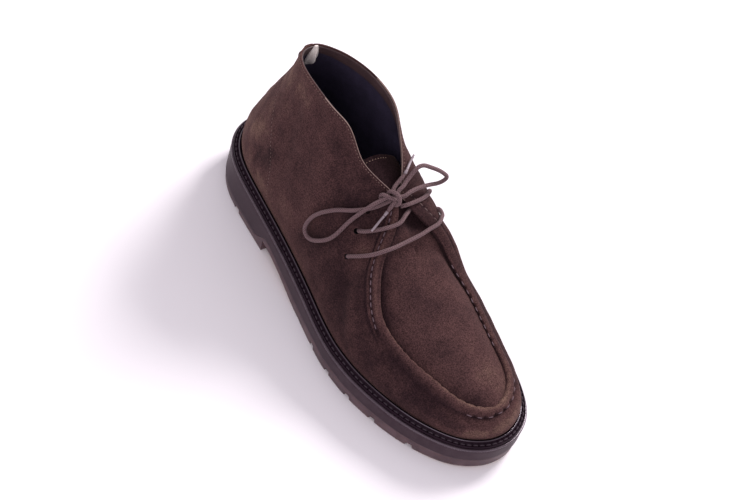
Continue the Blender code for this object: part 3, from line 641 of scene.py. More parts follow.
def smooth_leather(name, colour, spread, roughness):
    """Lining and edge leather with a fine pebble."""
    made = Finish(name, Roughness=roughness, Specular_IOR_Level=0.35)
    pebble = made.noise(0.9, 2.0, 0.5)
    level = made.ramp(made.math("ADD", made.noise(14.0, 3.0, 0.6), pebble), 0.75, 1.25)
    return made.done(made.mix(level, colour, scaled(colour, spread)), made.bump(pebble, 0.12, 0.6))


def rubber(name, colour, light, roughness, gloss):
    """Moulded rubber with faint flow marks and a little dust."""
    made = Finish(name, Specular_IOR_Level=gloss, Specular_Tint=(0.92, 0.78, 0.90, 1.0))
    fine = made.noise(0.7, 3.0, 0.6)
    level = made.total(0.0, (made.noise(9.0, 4.0, 0.6), 0.7), (fine, 0.3))
    dull = made.ramp(level, 0.3, 0.7, roughness - 0.06, roughness + 0.10)
    colour = made.mix(made.ramp(level, 0.35, 0.68), colour, light)
    return made.done(colour, made.bump(fine, 0.08, 0.5), Roughness=dull)


def gum_rubber():
    """Amber gum: pebbled tread faces, smooth orange channels, browner at its sides."""
    glow = {"Subsurface_Weight": 0.12, "Subsurface_Scale": 2.5 * MM, "Subsurface_Radius": (1.0, 0.45, 0.15)}
    made = Finish("gum", Roughness=0.5, Specular_IOR_Level=0.45, **glow)
    facing = made.split(made.add("ShaderNodeTexCoord").outputs["Normal"])["Z"]
    down = made.ramp(made.math("MULTIPLY", facing, -1.0), 0.6, 0.95)
    low = made.ramp(made.split(made.place)["Z"], 0.6 * MM, 2.6 * MM, 1.0, 0.0)
    face = made.math("MULTIPLY", down, low)
    cloud = made.noise(12.0, 3.0, 0.6)
    side = made.mix(made.ramp(cloud, 0.35, 0.65), (0.066, 0.034, 0.042), (0.100, 0.055, 0.064))
    channel = made.mix(cloud, (0.30, 0.115, 0.035), (0.42, 0.19, 0.07))
    amber = made.mix(made.ramp(cloud, 0.3, 0.7), (0.24, 0.135, 0.055), (0.40, 0.25, 0.12))
    colour = made.mix(face, made.mix(down, side, channel), amber)
    inputs = {"Vector": made.place, "Scale": 1.0 / (1.7 * MM), "Randomness": 0.35}
    cells = made.add("ShaderNodeTexVoronoi", inputs).outputs["Distance"]
    pebble = made.math("MULTIPLY", made.ramp(cells, 0.0, 0.6, 1.0, 0.0), face)
    colour = made.mix(made.math("MULTIPLY", pebble, 0.35), colour, (0.62, 0.45, 0.26))
    return made.done(colour, made.bump(pebble, 0.5, 0.8, made.bump(made.noise(1.2, 3.0), 0.1, 0.5)))


def cord_finish(name, dark, light):
    """A braided round lace: slanted strands from the tube's own length and turn."""
    made = Finish(name, Roughness=0.85, Specular_IOR_Level=0.18)
    made.shine(0.12, 0.4, (0.85, 0.66, 0.66, 1.0))
    spot = made.split(made.add("ShaderNodeUVMap").outputs["UV"])
    along = made.math("MULTIPLY", spot["X"], 2 * math.pi / 1.5)
    around = made.math("MULTIPLY", spot["Y"], 2 * math.pi * 6.0)
    one, two = (made.math("SINE", made.math(way, along, around)) for way in ("ADD", "SUBTRACT"))
    braid = made.math("MAXIMUM", one, two)
    fluff = made.noise(0.5, 2.0, 0.6)
    level = made.total(fluff, (braid, 0.45))
    normal = made.bump(fluff, 0.06, 0.5, made.bump(braid, 0.16, 0.8))
    return made.done(made.mix(made.ramp(level, 0.2, 1.1), dark, light), normal)


def thread(name, colour):
    """Twisted sewing thread."""
    made = Finish(name, Roughness=0.85, Specular_IOR_Level=0.12)
    twist = made.noise(0.3, 2.0, 0.6)
    shades = made.mix(made.ramp(twist, 0.35, 0.65), scaled(colour, 0.65), colour)
    return made.done(shades, made.bump(twist, 0.05, 0.6))


def woven_tape(name, colour, shade):
    """Twill tape of the heel tab."""
    made = Finish(name, Roughness=0.82, Sheen_Weight=0.2, Specular_IOR_Level=0.25)
    inputs = {"Vector": made.place, "Scale": 1.0 / (1.1 * MM), "Distortion": 0.6}
    weave = made.add("ShaderNodeTexWave", inputs, bands_direction="DIAGONAL").outputs["Fac"]
    level = made.total(made.noise(3.0, 3.0, 0.6), (weave, 0.3))
    return made.done(made.mix(made.ramp(level, 0.4, 0.9), shade, colour), made.bump(weave, 0.12, 0.7))


SUEDE = suede("suede", (0.020, 0.0092, 0.0112), (0.062, 0.0292, 0.0292), (0.146, 0.0855, 0.0665))
RAW_EDGE = smooth_leather("raw_edge", (0.150, 0.098, 0.088), 1.5, 0.8)
LINING = smooth_leather("lining", (0.028, 0.022, 0.042), 1.7, 0.55)
FACING = smooth_leather("collar_facing", (0.050, 0.028, 0.030), 1.6, 0.6)
SOCK = smooth_leather("sock", (0.014, 0.011, 0.016), 1.6, 0.7)
WELT = rubber("welt_rubber", (0.0085, 0.0028, 0.0068), (0.0135, 0.0052, 0.0105), 0.35, 0.1)
WELT_LIP = rubber("welt_lip", (0.0085, 0.0034, 0.0078), (0.014, 0.0064, 0.0125), 0.16, 0.85)
TAUPE = rubber("taupe_rubber", (0.036, 0.0205, 0.0275), (0.055, 0.036, 0.044), 0.48, 0.15)
# The bead's finish: glossier than the band, and paler by a painted highlight.
TAUPE_RIM_PAINTED_HIGHLIGHT = rubber("taupe_rim_painted_highlight", (0.044, 0.028, 0.038), (0.066, 0.046, 0.057), 0.22, 0.6)
GUM = gum_rubber()
LACE_FINISH = cord_finish("lace", (0.040, 0.021, 0.025), (0.205, 0.126, 0.136))
AGLET = rubber("aglet", (0.20, 0.155, 0.175), (0.34, 0.28, 0.31), 0.3, 0.5)
SEAM_THREAD = thread("seam_thread", (0.165, 0.108, 0.128))
FLAP_THREAD = thread("flap_thread", (0.150, 0.095, 0.092))
COUNTER_THREAD = thread("counter_thread", (0.190, 0.122, 0.112))
EDGE_THREAD = thread("edge_thread", (0.27, 0.172, 0.145))
CREAM_THREAD = thread("cream_thread", (0.42, 0.28, 0.22))
WELT_THREAD = thread("welt_thread", (0.066, 0.046, 0.060))
TAPE = woven_tape("heel_tape", (0.93, 0.84, 0.81), (0.74, 0.62, 0.59))


# ---- the upper's wall ----
SKIN = 1.25  # suede alone, without the lining
LINING_GAP = 0.15  # from the suede's inner face to the lining
LINING_FACE = WALL + 0.05  # the lining's inner face, under the wall's outer face
COLUMNS = 800

# Soft troughs (positive depth) and ridges (negative) of the upper: places as (row, rise), a
# minus standing for the medial side's rows, then half width and depth.
CREASES = [
    ([(2.6, 0.17), (3.2, 0.29), (3.8, 0.41), (4.3, 0.50)], 4.5, 0.75),
    ([(2.2, 0.33), (2.9, 0.47), (3.3, 0.60)], 5.0, -0.5),
    ([(3.6, 0.86), (3.9, 0.70), (4.2, 0.56)], 5.5, 0.55),
    ([(5.2, 0.80), (5.9, 0.62), (6.1, 0.40)], 8.0, -0.5),
    ([(6.9, 0.86), (7.3, 0.66), (7.2, 0.45), (6.8, 0.28)], 6.0, 0.5),
    ([(8.0, 0.93), (8.2, 0.84), (8.1, 0.72)], 3.0, 0.4),
    ([(9.6, 0.42), (10.4, 0.33), (11.3, 0.17)], 5.0, 0.5),
    ([(10.4, 0.55), (11.4, 0.42), (12.3, 0.24)], 6.0, -0.4),
    ([(12.0, 0.50), (12.8, 0.38), (13.2, 0.22)], 5.0, 0.4),
    ([(14.6, 0.40), (15.6, 0.34), (16.6, 0.36)], 4.0, 0.3),
    ([(-2.8, 0.22), (-3.4, 0.36), (-4.1, 0.50)], 5.0, 0.6),
    ([(-4.6, 0.82), (-5.2, 0.62), (-5.0, 0.42)], 7.0, -0.5),
    ([(-6.6, 0.80), (-7.0, 0.60), (-6.7, 0.36)], 6.0, 0.6),
    ([(-9.4, 0.45), (-10.3, 0.34), (-11.2, 0.16)], 5.0, 0.6),
    ([(-10.8, 0.52), (-11.8, 0.38), (-12.6, 0.2)], 6.0, -0.4),
    ([(-13.2, 0.46), (-14.2, 0.38), (-15.2, 0.4)], 4.5, 0.3),
]
# Patches of darker (negative) or paler suede, painted shade of the heel's soft dents among them: place,
# half size in mm, strength.
TONE_AND_SHADE_PATCHES = [
    ((3.45, 0.25), (5.0, 12.0), -0.75),
    ((3.75, 0.34), (5.5, 10.0), -0.55),
    ((3.6, 0.58), (13.0, 5.0), -0.5),
    ((2.4, 0.30), (9.0, 7.0), 0.2),
    ((2.9, 0.45), (9.0, 8.0), 0.15),
    ((3.0, 0.72), (4.0, 12.0), -0.4),
    ((3.9, 0.14), (14.0, 5.0), 0.6),
    ((3.0, 0.38), (8.0, 7.0), 0.25),
    ((3.5, 0.88), (8.0, 5.0), 0.5),
    ((2.2, 0.84), (9.0, 8.0), 0.5),
    ((5.2, 0.23), (12.0, 8.0), 0.45),
    ((6.5, 0.28), (8.0, 8.0), -0.4),
    ((13.4, 0.72), (7.0, 5.0), 0.5),
    ((5.9, 0.86), (8.0, 9.0), -0.35),
    ((6.4, 0.74), (7.0, 12.0), -0.3),
    ((8.3, 0.72), (10.0, 8.0), -0.3),
    ((10.2, 0.45), (18.0, 10.0), -0.25),
    ((15.0, 0.40), (12.0, 6.0), -0.3),
    ((16.2, 0.42), (9.0, 4.0), -0.3),
    ((17.4, 0.27), (9.0, 4.0), 0.6),
    ((-18.8, 0.42), (10.0, 6.0), 0.7),
    ((-17.4, 0.50), (8.0, 6.0), 0.45),
    ((-2.5, 0.6), (11.0, 11.0), 0.3),
    ((-3.6, 0.28), (5.0, 8.5), -0.7),
    ((9.7, 0.64), (6.5, 9.0), 0.6),
    ((-6.0, 0.4), (14.0, 10.0), -0.35),
]
# The counter's stitched edge sweeps from the back seam down to the welt, on both sides.
COUNTER = [
    (0.0, 0.76), (1.2, 0.72), (2.3, 0.66), (3.2, 0.55), (3.65, 0.44), (3.95, 0.36), (4.2, 0.25),
    (4.4, 0.04),
]
# Distance from the front edge's crest out to the trough beside it, along the table rows.
TROUGH_LATERAL = [
    (9.0, 3.0), (9.9, 5.0), (10.4, 5.6), (11.1, 5.5), (12.5, 5.3), (13.0, 6.2), (13.6, 7.3),
    (14.2, 8.2), (14.9, 8.6), (15.7, 7.8), (16.5, 6.8), (17.5, 6.2), (19.0, 4.8),
]
TROUGH_MEDIAL = [(9.0, 5.4), (9.7, 6.8), (10.4, 6.6), (12.0, 5.2), (16.0, 5.6), (17.0, 5.8), (19.0, 4.8)]
# Radius of the rolled edge: thin at the collar, folded at the facings, full round the apron.
ROLL_ROWS = (8.8, 9.5, 11.0, 12.5, 14.0, 16.5, 18.0)
ROLL_LATERAL = (0.62, 0.85, 1.6, 2.1, 2.2, 2.6, 3.0)
ROLL_MEDIAL = (0.62, 0.85, 1.5, 2.1, 2.3, 2.6, 3.0)
SEAM_PITCH = 6.6  # from one hand stitch of the apron's seam to the next
# The facings' folds beside that trough: middle, half width, height, and tone: painted light on a fold's top
# (positive), painted shade in its hollow (negative).
LATERAL_FOLDS = [
    (0.0, 0.75, -0.55, 0.0),
    (0.0, 0.8, 0.0, -0.5),
    (-2.6, 2.0, 0.35, 0.0),
    (-2.9, 1.8, 0.0, 0.7),
    (1.7, 1.1, 0.30, 0.0),
    (1.6, 1.2, 0.0, 0.4),
    (3.3, 0.7, -0.45, -0.8),
]
MEDIAL_FOLDS = [(0.0, 0.8, -0.4, 0.0), (0.0, 0.9, 0.0, -0.4), (-2.8, 2.2, 0.3, 0.0)]
COLLAR_SEAM = 0.95  # the collar's stitches lie this far under its edge
FACING_DEPTH = 8.8  # the collar facing's depth, inside the shoe
ROLL_EARLY = 0.3  # the rolled edge takes over from the wall this much early
# Table rows between which a feature of the edge grows.
OPEN_ROWS = (9.2, 12.0)  # the wall's edge thickens from the facings to the apron
SEAM_ROWS = (12.0, 13.4)  # the apron's raised seam and its trough
STITCH_ROWS = (12.2, 13.2)  # the pull of the hand stitches
TOE_ROWS = (15.5, 17.0)  # the trough is narrower and deeper round the toe
RAW_ROWS = (4.4, 9.3)  # the collar's cut edge shows between these rows
RAW_RINGS = (2, 9)  # and between these rings of its roll


def side_rows(at):
    """How many rows a knot is from the back seam, and its side: -1 lateral, 1 medial."""
    at = np.mod(at, KNOTS)
    return np.minimum(at, KNOTS - at), np.where(at <= KNOTS / 2, -1.0, 1.0)


def by_side(at, lateral, medial):
    """A value that runs along the rows, from one table for each side."""
    row, side = side_rows(at)
    values = [np.interp(row, *np.array(table, float).T) for table in (lateral, medial)]
    return np.where(side < 0, *values)


def trough_at(at):
    return by_side(at, TROUGH_LATERAL, TROUGH_MEDIAL)


def search_tree(points):
    """A tree that finds the nearest of some points."""
    tree = KDTree(len(points))
    for k, place in enumerate(points):
        tree.insert(place, k)
    tree.balance()
    return tree


EDGE_TREE = search_tree(top_edge(np.arange(9000) * KNOTS / 9000))


def edge_distance(points):
    return np.array([EDGE_TREE.find(p)[2] for p in points.tolist()])


def seam_run(at):
    """Distance along the front edge from the lateral throat, for each knot."""
    fine = np.linspace(THROAT_ROW, KNOTS - THROAT_ROW, 1500)
    return np.interp(np.mod(at, KNOTS), fine, run_along(top_edge(fine)))


def pinch_at(at):
    """1 where a hand stitch draws the apron's seam together, 0 between two of them."""
    phase = np.abs((seam_run(at) / SEAM_PITCH) % 1.0 - 0.5) * 2.0
    return bell(1.0 - phase, 0.3) * ease(side_rows(at)[0], *STITCH_ROWS)


def near_places(points, places, count=24):
    """Distance of points to a smooth line over the wall through (row, rise) places."""
    line = spline(places, np.linspace(0, len(places) - 1, count))
    return near_line(points, upper_point(np.mod(line[:, 0], KNOTS), np.clip(line[:, 1], 0.0, 1.0)))


def tone_and_shade_patches(points):
    """Tone of the patches, painted shade among them: the narrow ones have edges, the others fade out."""
    tone = np.zeros(len(points))
    for (row, rise), (half_along, half_up), strength in TONE_AND_SHADE_PATCHES:
        at = np.array([row % KNOTS])
        middle, normal = upper_point(at, rise)[0], upper_normal(at, rise)[0]
        up = unit(upper_point(at, rise + 0.05)[0] - middle)
        offset = points - middle
        reach = (offset @ np.cross(up, normal) / half_along) ** 2 + (offset @ up / half_up) ** 2
        reach = reach + (offset @ normal / 25.0) ** 2
        reach = reach * (1.0 + 0.35 * waves(points, 7.0, int(row * 10) % 97 + 3))
        tone += strength * (1.0 - ease(reach, 0.3, 1.9) if half_up < 5.0 else np.exp(-reach))
    return tone


def relief(at, rise, points, away):
    """How far the wall stands proud of its plain form at each point, and its tone."""
    row, side = side_rows(at)
    calm = ease(away, 1.0, 9.0) * ease(rise, 0.0, 0.08)
    proud = calm * (0.30 * waves(points, 30.0, 11) + 0.12 * waves(points, 12.0, 12))
    # uneven tone, with the patches' painted shade round the heel
    tone = 0.10 * waves(points, 22.0, 13) + tone_and_shade_patches(points)
    for places, half, depth in CREASES:
        near = bell(near_places(points, places), half)
        proud -= depth * near * calm
        # painted shade in the troughs, painted light on the ridges
        tone -= 0.35 * depth * near
    for turn in (1.0, -1.0):
        near = near_places(points, [(turn * r, s) for r, s in COUNTER], 60)
        proud += 0.12 * bell(near - 2.4, 1.8) - 0.18 * bell(near, 0.8)
        tone -= 0.18 * bell(near, 1.0)
    folds = seam_relief(at, row, side, away)
    # paler over the welt along the quarters and round the heel, darker in the vamp's shade
    tone += 0.45 * bell(rise, 0.09) * (1.0 - ease(row, 12.0, 14.5))
    cloudy = 0.36 + 0.12 * waves(points, 14.0, 14) + 0.12 * waves(points, 6.0, 15)
    tone += (1.0 - ease(row, 2.8, 5.2)) * cloudy + 0.15 * ease(row, 16.0, 18.0)
    tone -= 0.30 * ease(row, 6.5, 8.5) * (1.0 - ease(row, 14.5, 16.5))
    return proud + folds[0], tone + folds[1]


def trough_depth(at, away):
    """How deep the wall sinks beside the rolled seam, and the share of the full depth."""
    beside = away - trough_at(at)
    row, _ = side_rows(at)
    toe = ease(row, *TOE_ROWS)
    wide = np.where(beside > 0, 5.2 - 2.4 * toe, 3.4 - 0.4 * toe)
    dip = ease(row, *SEAM_ROWS) * bell(beside, wide)
    return (1.6 + 0.5 * toe) * dip, dip


def seam_relief(at, row, side, away):
    """Trough beside the rolled edge, its puckers, the facings' folds and stitch grooves."""
    beside = away - trough_at(at)
    seam = ease(row, *SEAM_ROWS)
    toe = 0.3 * ease(row, 13.6, 14.6) + 0.7 * ease(row, 16.2, 17.6)
    depth, dip = trough_depth(at, away)
    pinch = pinch_at(at)
    lump = seam * bell(beside + 1.4, 1.3)
    fold = seam * bell(beside + 0.2, 0.8)
    proud = (0.1 + 1.5 * toe) * lump * (0.55 - 1.1 * pinch) - (0.15 + 0.5 * toe) * fold - depth
    # tone: painted light by the rolled edge, painted shade in the trough, and round the toe in the folds
    # and at the stitches' pinches
    tone = 0.45 * seam * bell(away, 2.5) - 0.35 * dip - 0.5 * toe * fold - 0.4 * toe * lump * pinch
    lateral = (side < 0) * ease(row, 9.1, 9.7) * (1.0 - ease(row, 12.6, 13.4))
    medial = (side > 0) * ease(row, 8.6, 9.4) * (1.0 - ease(row, 11.2, 12.4))
    for facing, folds in ((lateral, LATERAL_FOLDS), (medial, MEDIAL_FOLDS)):
        for middle, half, height, shade in folds:
            near = facing * bell(beside - middle, half)
            proud += height * near
            tone += shade * near
    # collar: a faint groove under the stitches
    return proud - 0.16 * (1.0 - ease(row, 8.4, 9.0)) * bell(away - COLLAR_SEAM, 0.6), tone


def dressed(at, rise):
    """Points of the wall with its relief, and their tone."""
    points = upper_point(at, rise)
    proud, tone = relief(at, rise, points, edge_distance(points))
    return points + upper_normal(at, rise) * proud[:, None], tone


def under_wall(at, rise, depth, step=None):
    """Points that deep under the wall's face, which sinks beside the rolled seam."""
    points = upper_point(at, rise)
    away = edge_distance(points)
    depth = depth + trough_depth(at, away)[0]
    if step:
        depth = depth + step(away)
    return points - upper_normal(at, rise) * depth[:, None]


def upper_columns():
    """Knots round the upper, twice as close along the apron's seam as along the collar."""
    fine = np.linspace(0, KNOTS, 8001)
    run = run_along(top_edge(fine))
    density = 1.0 + 1.3 * ease(side_rows(fine)[0], 8.5, 10.5)
    total = np.concatenate([[0.0], np.cumsum(np.diff(run) * 0.5 * (density[1:] + density[:-1]))])
    return np.interp(np.arange(COLUMNS) * total[-1] / COLUMNS, total, fine)


def rise_below(knots, distance):
    """The rise that lies a distance below the top edge at each knot, by the nearest way."""
    distance = np.broadcast_to(distance, knots.shape)
    steps = np.concatenate([np.linspace(1.0, 0.9, 41)[:-1], np.linspace(0.9, 0.55, 50)])
    reached = np.stack([edge_distance(upper_point(knots, s)) for s in steps])
    climbs = np.maximum.accumulate(reached).T
    return np.array([np.interp(far, climb, steps) for far, climb in zip(distance, climbs)])


# ---- the rolled edge ----
def along_edge(at, step):
    return top_edge(at + step) - top_edge(at - step)


def edge_roll(at):
    """Frame of the rolled edge: normal, upward way, radius, turn, and the rise where it starts."""
    along = unit(along_edge(at, 0.12))
    normal = upper_normal(at, 1.0)
    normal = unit(normal - along * np.einsum("ij,ij->i", normal, along)[:, None])
    upward = np.cross(normal, along)
    climb = top_edge(at) - upper_point(at, 0.93)
    upward *= np.sign(np.einsum("ij,ij->i", upward, climb))[:, None]
    turn = np.arctan2(normal[:, 2], -upward[:, 2])
    radius = by_side(at, list(zip(ROLL_ROWS, ROLL_LATERAL)), list(zip(ROLL_ROWS, ROLL_MEDIAL)))
    level = turn - math.pi / 2
    gain = radius * (np.sin(level) * upward[:, 2] - (1 - np.cos(level)) * normal[:, 2])
    return normal, upward, radius, turn, rise_below(at, np.maximum(gain - ROLL_EARLY, 0.02))


def roll_way(frame_at, share):
    """Outward ways on the roll: share 0 at the wall, 1 where it heads straight down."""
    normal, upward, _, turn, _ = frame_at
    return np.sin(turn * share)[:, None] * upward + np.cos(turn * share)[:, None] * normal


def roll_point(start, frame_at, share, at):
    """A point of the rolled edge, drawn in at its stitches."""
    normal, radius = frame_at[0], frame_at[2]
    row, side = side_rows(at)
    sewn_in = np.where(
        side < 0, 0.32 + 0.3 * ease(row, 13.4, 14.4), 0.85 * (1.0 - 0.85 * ease(row, 13.2, 14.4))
    )
    pinch = pinch_at(at)
    swell = 0.2 * (1 - pinch) * ease(row, *STITCH_ROWS)
    out = roll_way(frame_at, share)
    point = start - normal * radius[:, None] + out * radius[:, None]
    return point - out * (bell(share - 0.72, 0.3) * sewn_in * (pinch - swell))[:, None]


def make_upper():
    at = upper_columns()
    frame_at = edge_roll(at)
    row, _ = side_rows(at)
    seam = ease(row, *OPEN_ROWS)
    shares = [np.linspace(0, 0.1, 9)[:-1], np.linspace(0.1, 0.7, 34)[:-1], np.linspace(0.7, 1.0, 46)]
    skin = [dressed(at, share * frame_at[4]) for share in np.concatenate(shares)]
    rings, tones = map(list, zip(*skin))
    start, start_tone = skin[-1]
    walls = len(rings)
    for part in np.linspace(0.0, 1.0, 11)[1:]:
        rings.append(roll_point(start, frame_at, part, at))
        # painted light on the roll's upper side, painted shade under it and at the stitches' pinches
        shade = 0.35 * bell(part - 0.3, 0.3) - 0.7 * bell(part - 0.9, 0.2) - 0.4 * pinch_at(at) * part
        tones.append(start_tone + seam * shade)
    rings.append(rings[-1] - np.outer(0.05 + 3.2 * seam, (0.0, 0.0, 1.0)))
    tones.append(tones[-1])
    inner_rise = rise_below(at, 1.6 + 7.0 * seam)  # lower where the roll is thick
    for part in np.linspace(1.0, 0.0, 14):
        rings.append(under_wall(at, part * inner_rise, SKIN))
        tones.append(np.zeros(len(at)))
    piece = ring_piece("upper_suede", rings, SUEDE, np.stack(tones))
    ring, column = np.divmod(np.arange(len(rings) * len(at)), len(at))
    raw = (ring >= walls + RAW_RINGS[0]) & (ring <= walls + RAW_RINGS[1])
    raw &= (row[column] > RAW_ROWS[0]) & (row[column] < RAW_ROWS[1])
    second_finish(piece, RAW_EDGE, raw)
    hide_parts("upper")
    return piece


def facing_step(away):
    """The collar facing stands off the lining under it; its seams lie a little deeper."""
    return 0.35 * (1.0 - ease(away, 8.2, 8.7)) - 0.12 * bell(away - 7.4, 0.5) - 0.25 * bell(away - 0.5, 0.6)


def make_lining():
    """Inner wall: a collar facing of plain leather above, dark lining below."""
    at = upper_columns()[::2]
    top_rise = rise_below(at, 0.5 + 8.5 * ease(side_rows(at)[0], *OPEN_ROWS))
    rings = [under_wall(at, part * top_rise, SKIN + LINING_GAP) for part in np.linspace(0.0, 1.0, 30)]
    inner = np.concatenate([np.linspace(1.0, 0.8, 24)[:-1], np.linspace(0.8, 0.0, 26)])
    rings += [under_wall(at, part * top_rise, LINING_FACE, facing_step) for part in inner]
    lining = ring_piece("lining", rings, LINING)
    faces = grid_faces(len(rings), len(at), wrap_rows=True, wrap_columns=True)
    second_finish(lining, FACING, edge_distance(np.vstack(rings)[faces].mean(axis=1)) < FACING_DEPTH)
    return lining


# ---- apron and tongue: one skin from the toe's seam to the tongue's top ----
APRON_ROWS = 120
HANDOVER = 14  # rows before the tongue where the skin starts to tuck under the flaps
SMOOTHINGS = 70  # passes over the rows where apron and tongue meet
HOLLOW = (157.0, 9.5)  # (u, x) where the tongue sinks under the inner flap, beside the knot
HOLLOW_R = 7.5
HOLLOW_DEPTH = 5.0


def tucked(points, depth):
    """Points moved inwards until they lie at least that deep under the upper's face."""
    at = np.arange(0, KNOTS, 0.25)
    rises = np.linspace(0.0, 1.0, 40)
    places = np.vstack([upper_point(at, rise) for rise in rises])
    normals = np.vstack([upper_normal(at, rise) for rise in rises])
    tree = search_tree(places)
    moved = points.copy()
    for k in range(len(moved)):
        for _ in range(3):
            index = tree.find(moved[k])[1]
            short = (moved[k] - places[index]) @ normals[index] + depth
            moved[k] -= normals[index] * max(short, 0.0)
    return moved


def apron_rows(across):
    """Strips of the apron from seam to seam, from the toe back to its rear edge."""
    crowns = np.array(APRON_CROWN)[:, None]
    edges = 1 - np.abs(across)
    for row in np.linspace(TOE_KNOT - 0.03, APRON_ROW, APRON_ROWS):
        lateral, medial = top_edge(np.array([row, KNOTS - row]))
        crown = spline(crowns, np.array([min(row - APRON_ROW, len(APRON_CROWN) - 1.0)]))[0, 0]
        strip = lateral + (medial - lateral) * (across[:, None] + 1) / 2
        inset = edges * np.linalg.norm(medial - lateral) / 2
        dip = 2.6 * bell(inset, 7.5) + 1.2 * (1 - ease(row, 12.0, 14.0)) * bell(inset, 5.0)
        strip[:, 2] += crown * (1 - np.abs(across) ** APRON_ROUND) - RIDGE_DROP - dip
        yield strip


def tongue_rows(across):
    for u, x, half, z, drop in spline(TONGUE, np.linspace(1.0, len(TONGUE) - 1, 64)):
        half += 4.5 * (1 - ease(-u, -178.0, -150.0))
        z_across = z - drop * np.abs(across) ** 1.9
        yield np.column_stack([np.full(len(across), u), x + across * half, z_across])


def make_apron():
    across = np.sin(np.linspace(-math.pi / 2, math.pi / 2, 71))
    grid = np.stack([*apron_rows(across), *tongue_rows(across)])
    joint = slice(APRON_ROWS - 22, APRON_ROWS + 20)
    for _ in range(SMOOTHINGS):
        beside = grid[joint.start - 1 : joint.stop - 1] + grid[joint.start + 1 : joint.stop + 1]
        grid[joint] = 0.5 * grid[joint] + 0.25 * beside
    first = APRON_ROWS - HANDOVER
    tail = grid[first:]
    under = tucked(tail.reshape(-1, 3), SKIN + UNDER).reshape(tail.shape)
    grid[first:] = tail + (under - tail) * ease(np.arange(len(tail)), 0, HANDOVER - 4)[:, None, None]
    hollow = bell(grid[..., 0] - HOLLOW[0], HOLLOW_R) * bell(grid[..., 1] - HOLLOW[1], HOLLOW_R)
    grid[..., 2] -= HOLLOW_DEPTH * hollow
    lift = 0.22 * waves(grid, 26.0, 21) + 0.06 * waves(grid, 9.0, 22)
    grid[..., 2] += lift * (1 - np.abs(across) ** 6)
    front = to_frame(grid.reshape(-1, 3)).reshape(grid.shape)
    down = np.cross(np.gradient(front, axis=1), np.gradient(front, axis=0))
    down /= np.maximum(np.linalg.norm(down, axis=2), 1e-12)[..., None]
    down *= -np.sign(down[40, 30, 2])
    tone = apron_tone_and_shade(grid, across, hollow)
    back = front + down * APRON_WALL * MM
    piece = closed_shell("apron_and_tongue", front, back, SUEDE, tone)
    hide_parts("tongue")
    return grid


def apron_tone_and_shade(grid, across, hollow):
    """Paler over the toes; painted shade along the seams, in the hollow, on the tongue, and more on the
    tongue's medial side by the inner flap.
    """
    u, x = grid[..., 0], grid[..., 1]
    tone = 0.15 * waves(grid, 24.0, 23) + 0.45 * ease(u, 215.0, 265.0) * ease(x, -15.0, 20.0) - 0.05
    tone -= 0.6 * np.abs(across) ** 16 + 0.9 * ease(-u, -152.0, -138.0) + 2.2 * hollow
    tone -= 1.2 * ease(x, 3.0, 8.0) * (1.0 - ease(u, 150.0, 160.0))
    beside = edge_distance(grid.reshape(-1, 3)).reshape(tone.shape) * np.where(across < 0, 1.0, 2.0)
    return tone - 0.9 * bell(beside, 5.0) * (1 - ease(u, 190.0, 225.0))


# ---- sewn rows ----
def sewn(name, knots, rises, pitch, finish, length, radius, lift):
    """A row of machine stitches along a line of (knot, rise) over the wall."""
    run = run_along(upper_point(knots, rises))
    marks = np.arange(pitch / 2, run[-1], pitch)
    knots, rises = np.interp(marks, run, knots), np.interp(marks, run, rises)
    places = dressed(knots, rises)[0]
    ahead = np.gradient(places, axis=0)
    stitch_row(name, places, ahead, upper_normal(knots, rises), finish, length, radius, lift)


def make_sewn_rows():
    collar = np.linspace(KNOTS - THROAT_ROW, KNOTS + THROAT_ROW, 320)
    sewn("collar_stitches", collar, rise_below(collar, COLLAR_SEAM), 2.4, EDGE_THREAD, 1.15, 0.2, 0.12)
    lateral = np.linspace(9.35, 13.05, 140)
    medial = KNOTS - np.linspace(9.05, 10.6, 60)
    for name, knots, pitch, finish, radius in (
        ("lateral", lateral, 4.7, SEAM_THREAD, 0.45),
        ("medial", medial, 5.0, FLAP_THREAD, 0.42),
    ):
        rises = rise_below(knots, trough_at(knots))
        sewn(f"facing_stitches_{name}", knots, rises, pitch, finish, 3.4, radius, 0.25)
    rows, rises = spline(COUNTER, np.linspace(0.02, len(COUNTER) - 1.05, 120)).T
    for name, knots in (("lateral", rows), ("medial", KNOTS - rows)):
        sewn(f"counter_stitches_{name}", knots, rises, 2.6, COUNTER_THREAD, 1.3, 0.22, 0.15)


def seam_marks(start, end):
    """Knots of the apron's hand stitches between two knots of the edge."""
    fine = np.linspace(start, end, 2400)
    run = seam_run(fine)
    first = (math.ceil(run[0] / SEAM_PITCH - 0.5) + 0.5) * SEAM_PITCH
    return np.interp(np.arange(first, run[-1], SEAM_PITCH), run, fine)


def make_seam_stitches():
    """Hand stitches of the apron's seam, seen on the roll's outer and inner sides."""
    at = seam_marks(16.6, KNOTS - 16.2)
    rises = rise_below(at, trough_at(at) - 0.8)
    spots, ahead = dressed(at, rises)[0], along_edge(at, 0.1)
    stitch_row("seam_stitches_outer", spots, ahead, upper_normal(at, rises), SEAM_THREAD, 3.6, 0.45, 0.25)
    at = seam_marks(KNOTS - 14.9, KNOTS - 11.9)
    frame_at = edge_roll(at)
    share = 0.7
    spots, ahead = roll_point(upper_point(at, frame_at[4]), frame_at, share, at), along_edge(at, 0.1)
    stitch_row("seam_stitches_inner", spots, ahead, roll_way(frame_at, share), SEAM_THREAD, 3.4, 0.42, 0.2)


def make_tongue_stitches(grid):
    """A cream row under the tongue's top edge."""
    line = even(grid[-4, 8:-24], 2.3)
    up = np.tile((0.0, 0.0, 1.0), (len(line), 1))
    stitch_row("tongue_stitches", line, np.gradient(line, axis=0), up, CREAM_THREAD, 1.1, 0.2, 0.12)


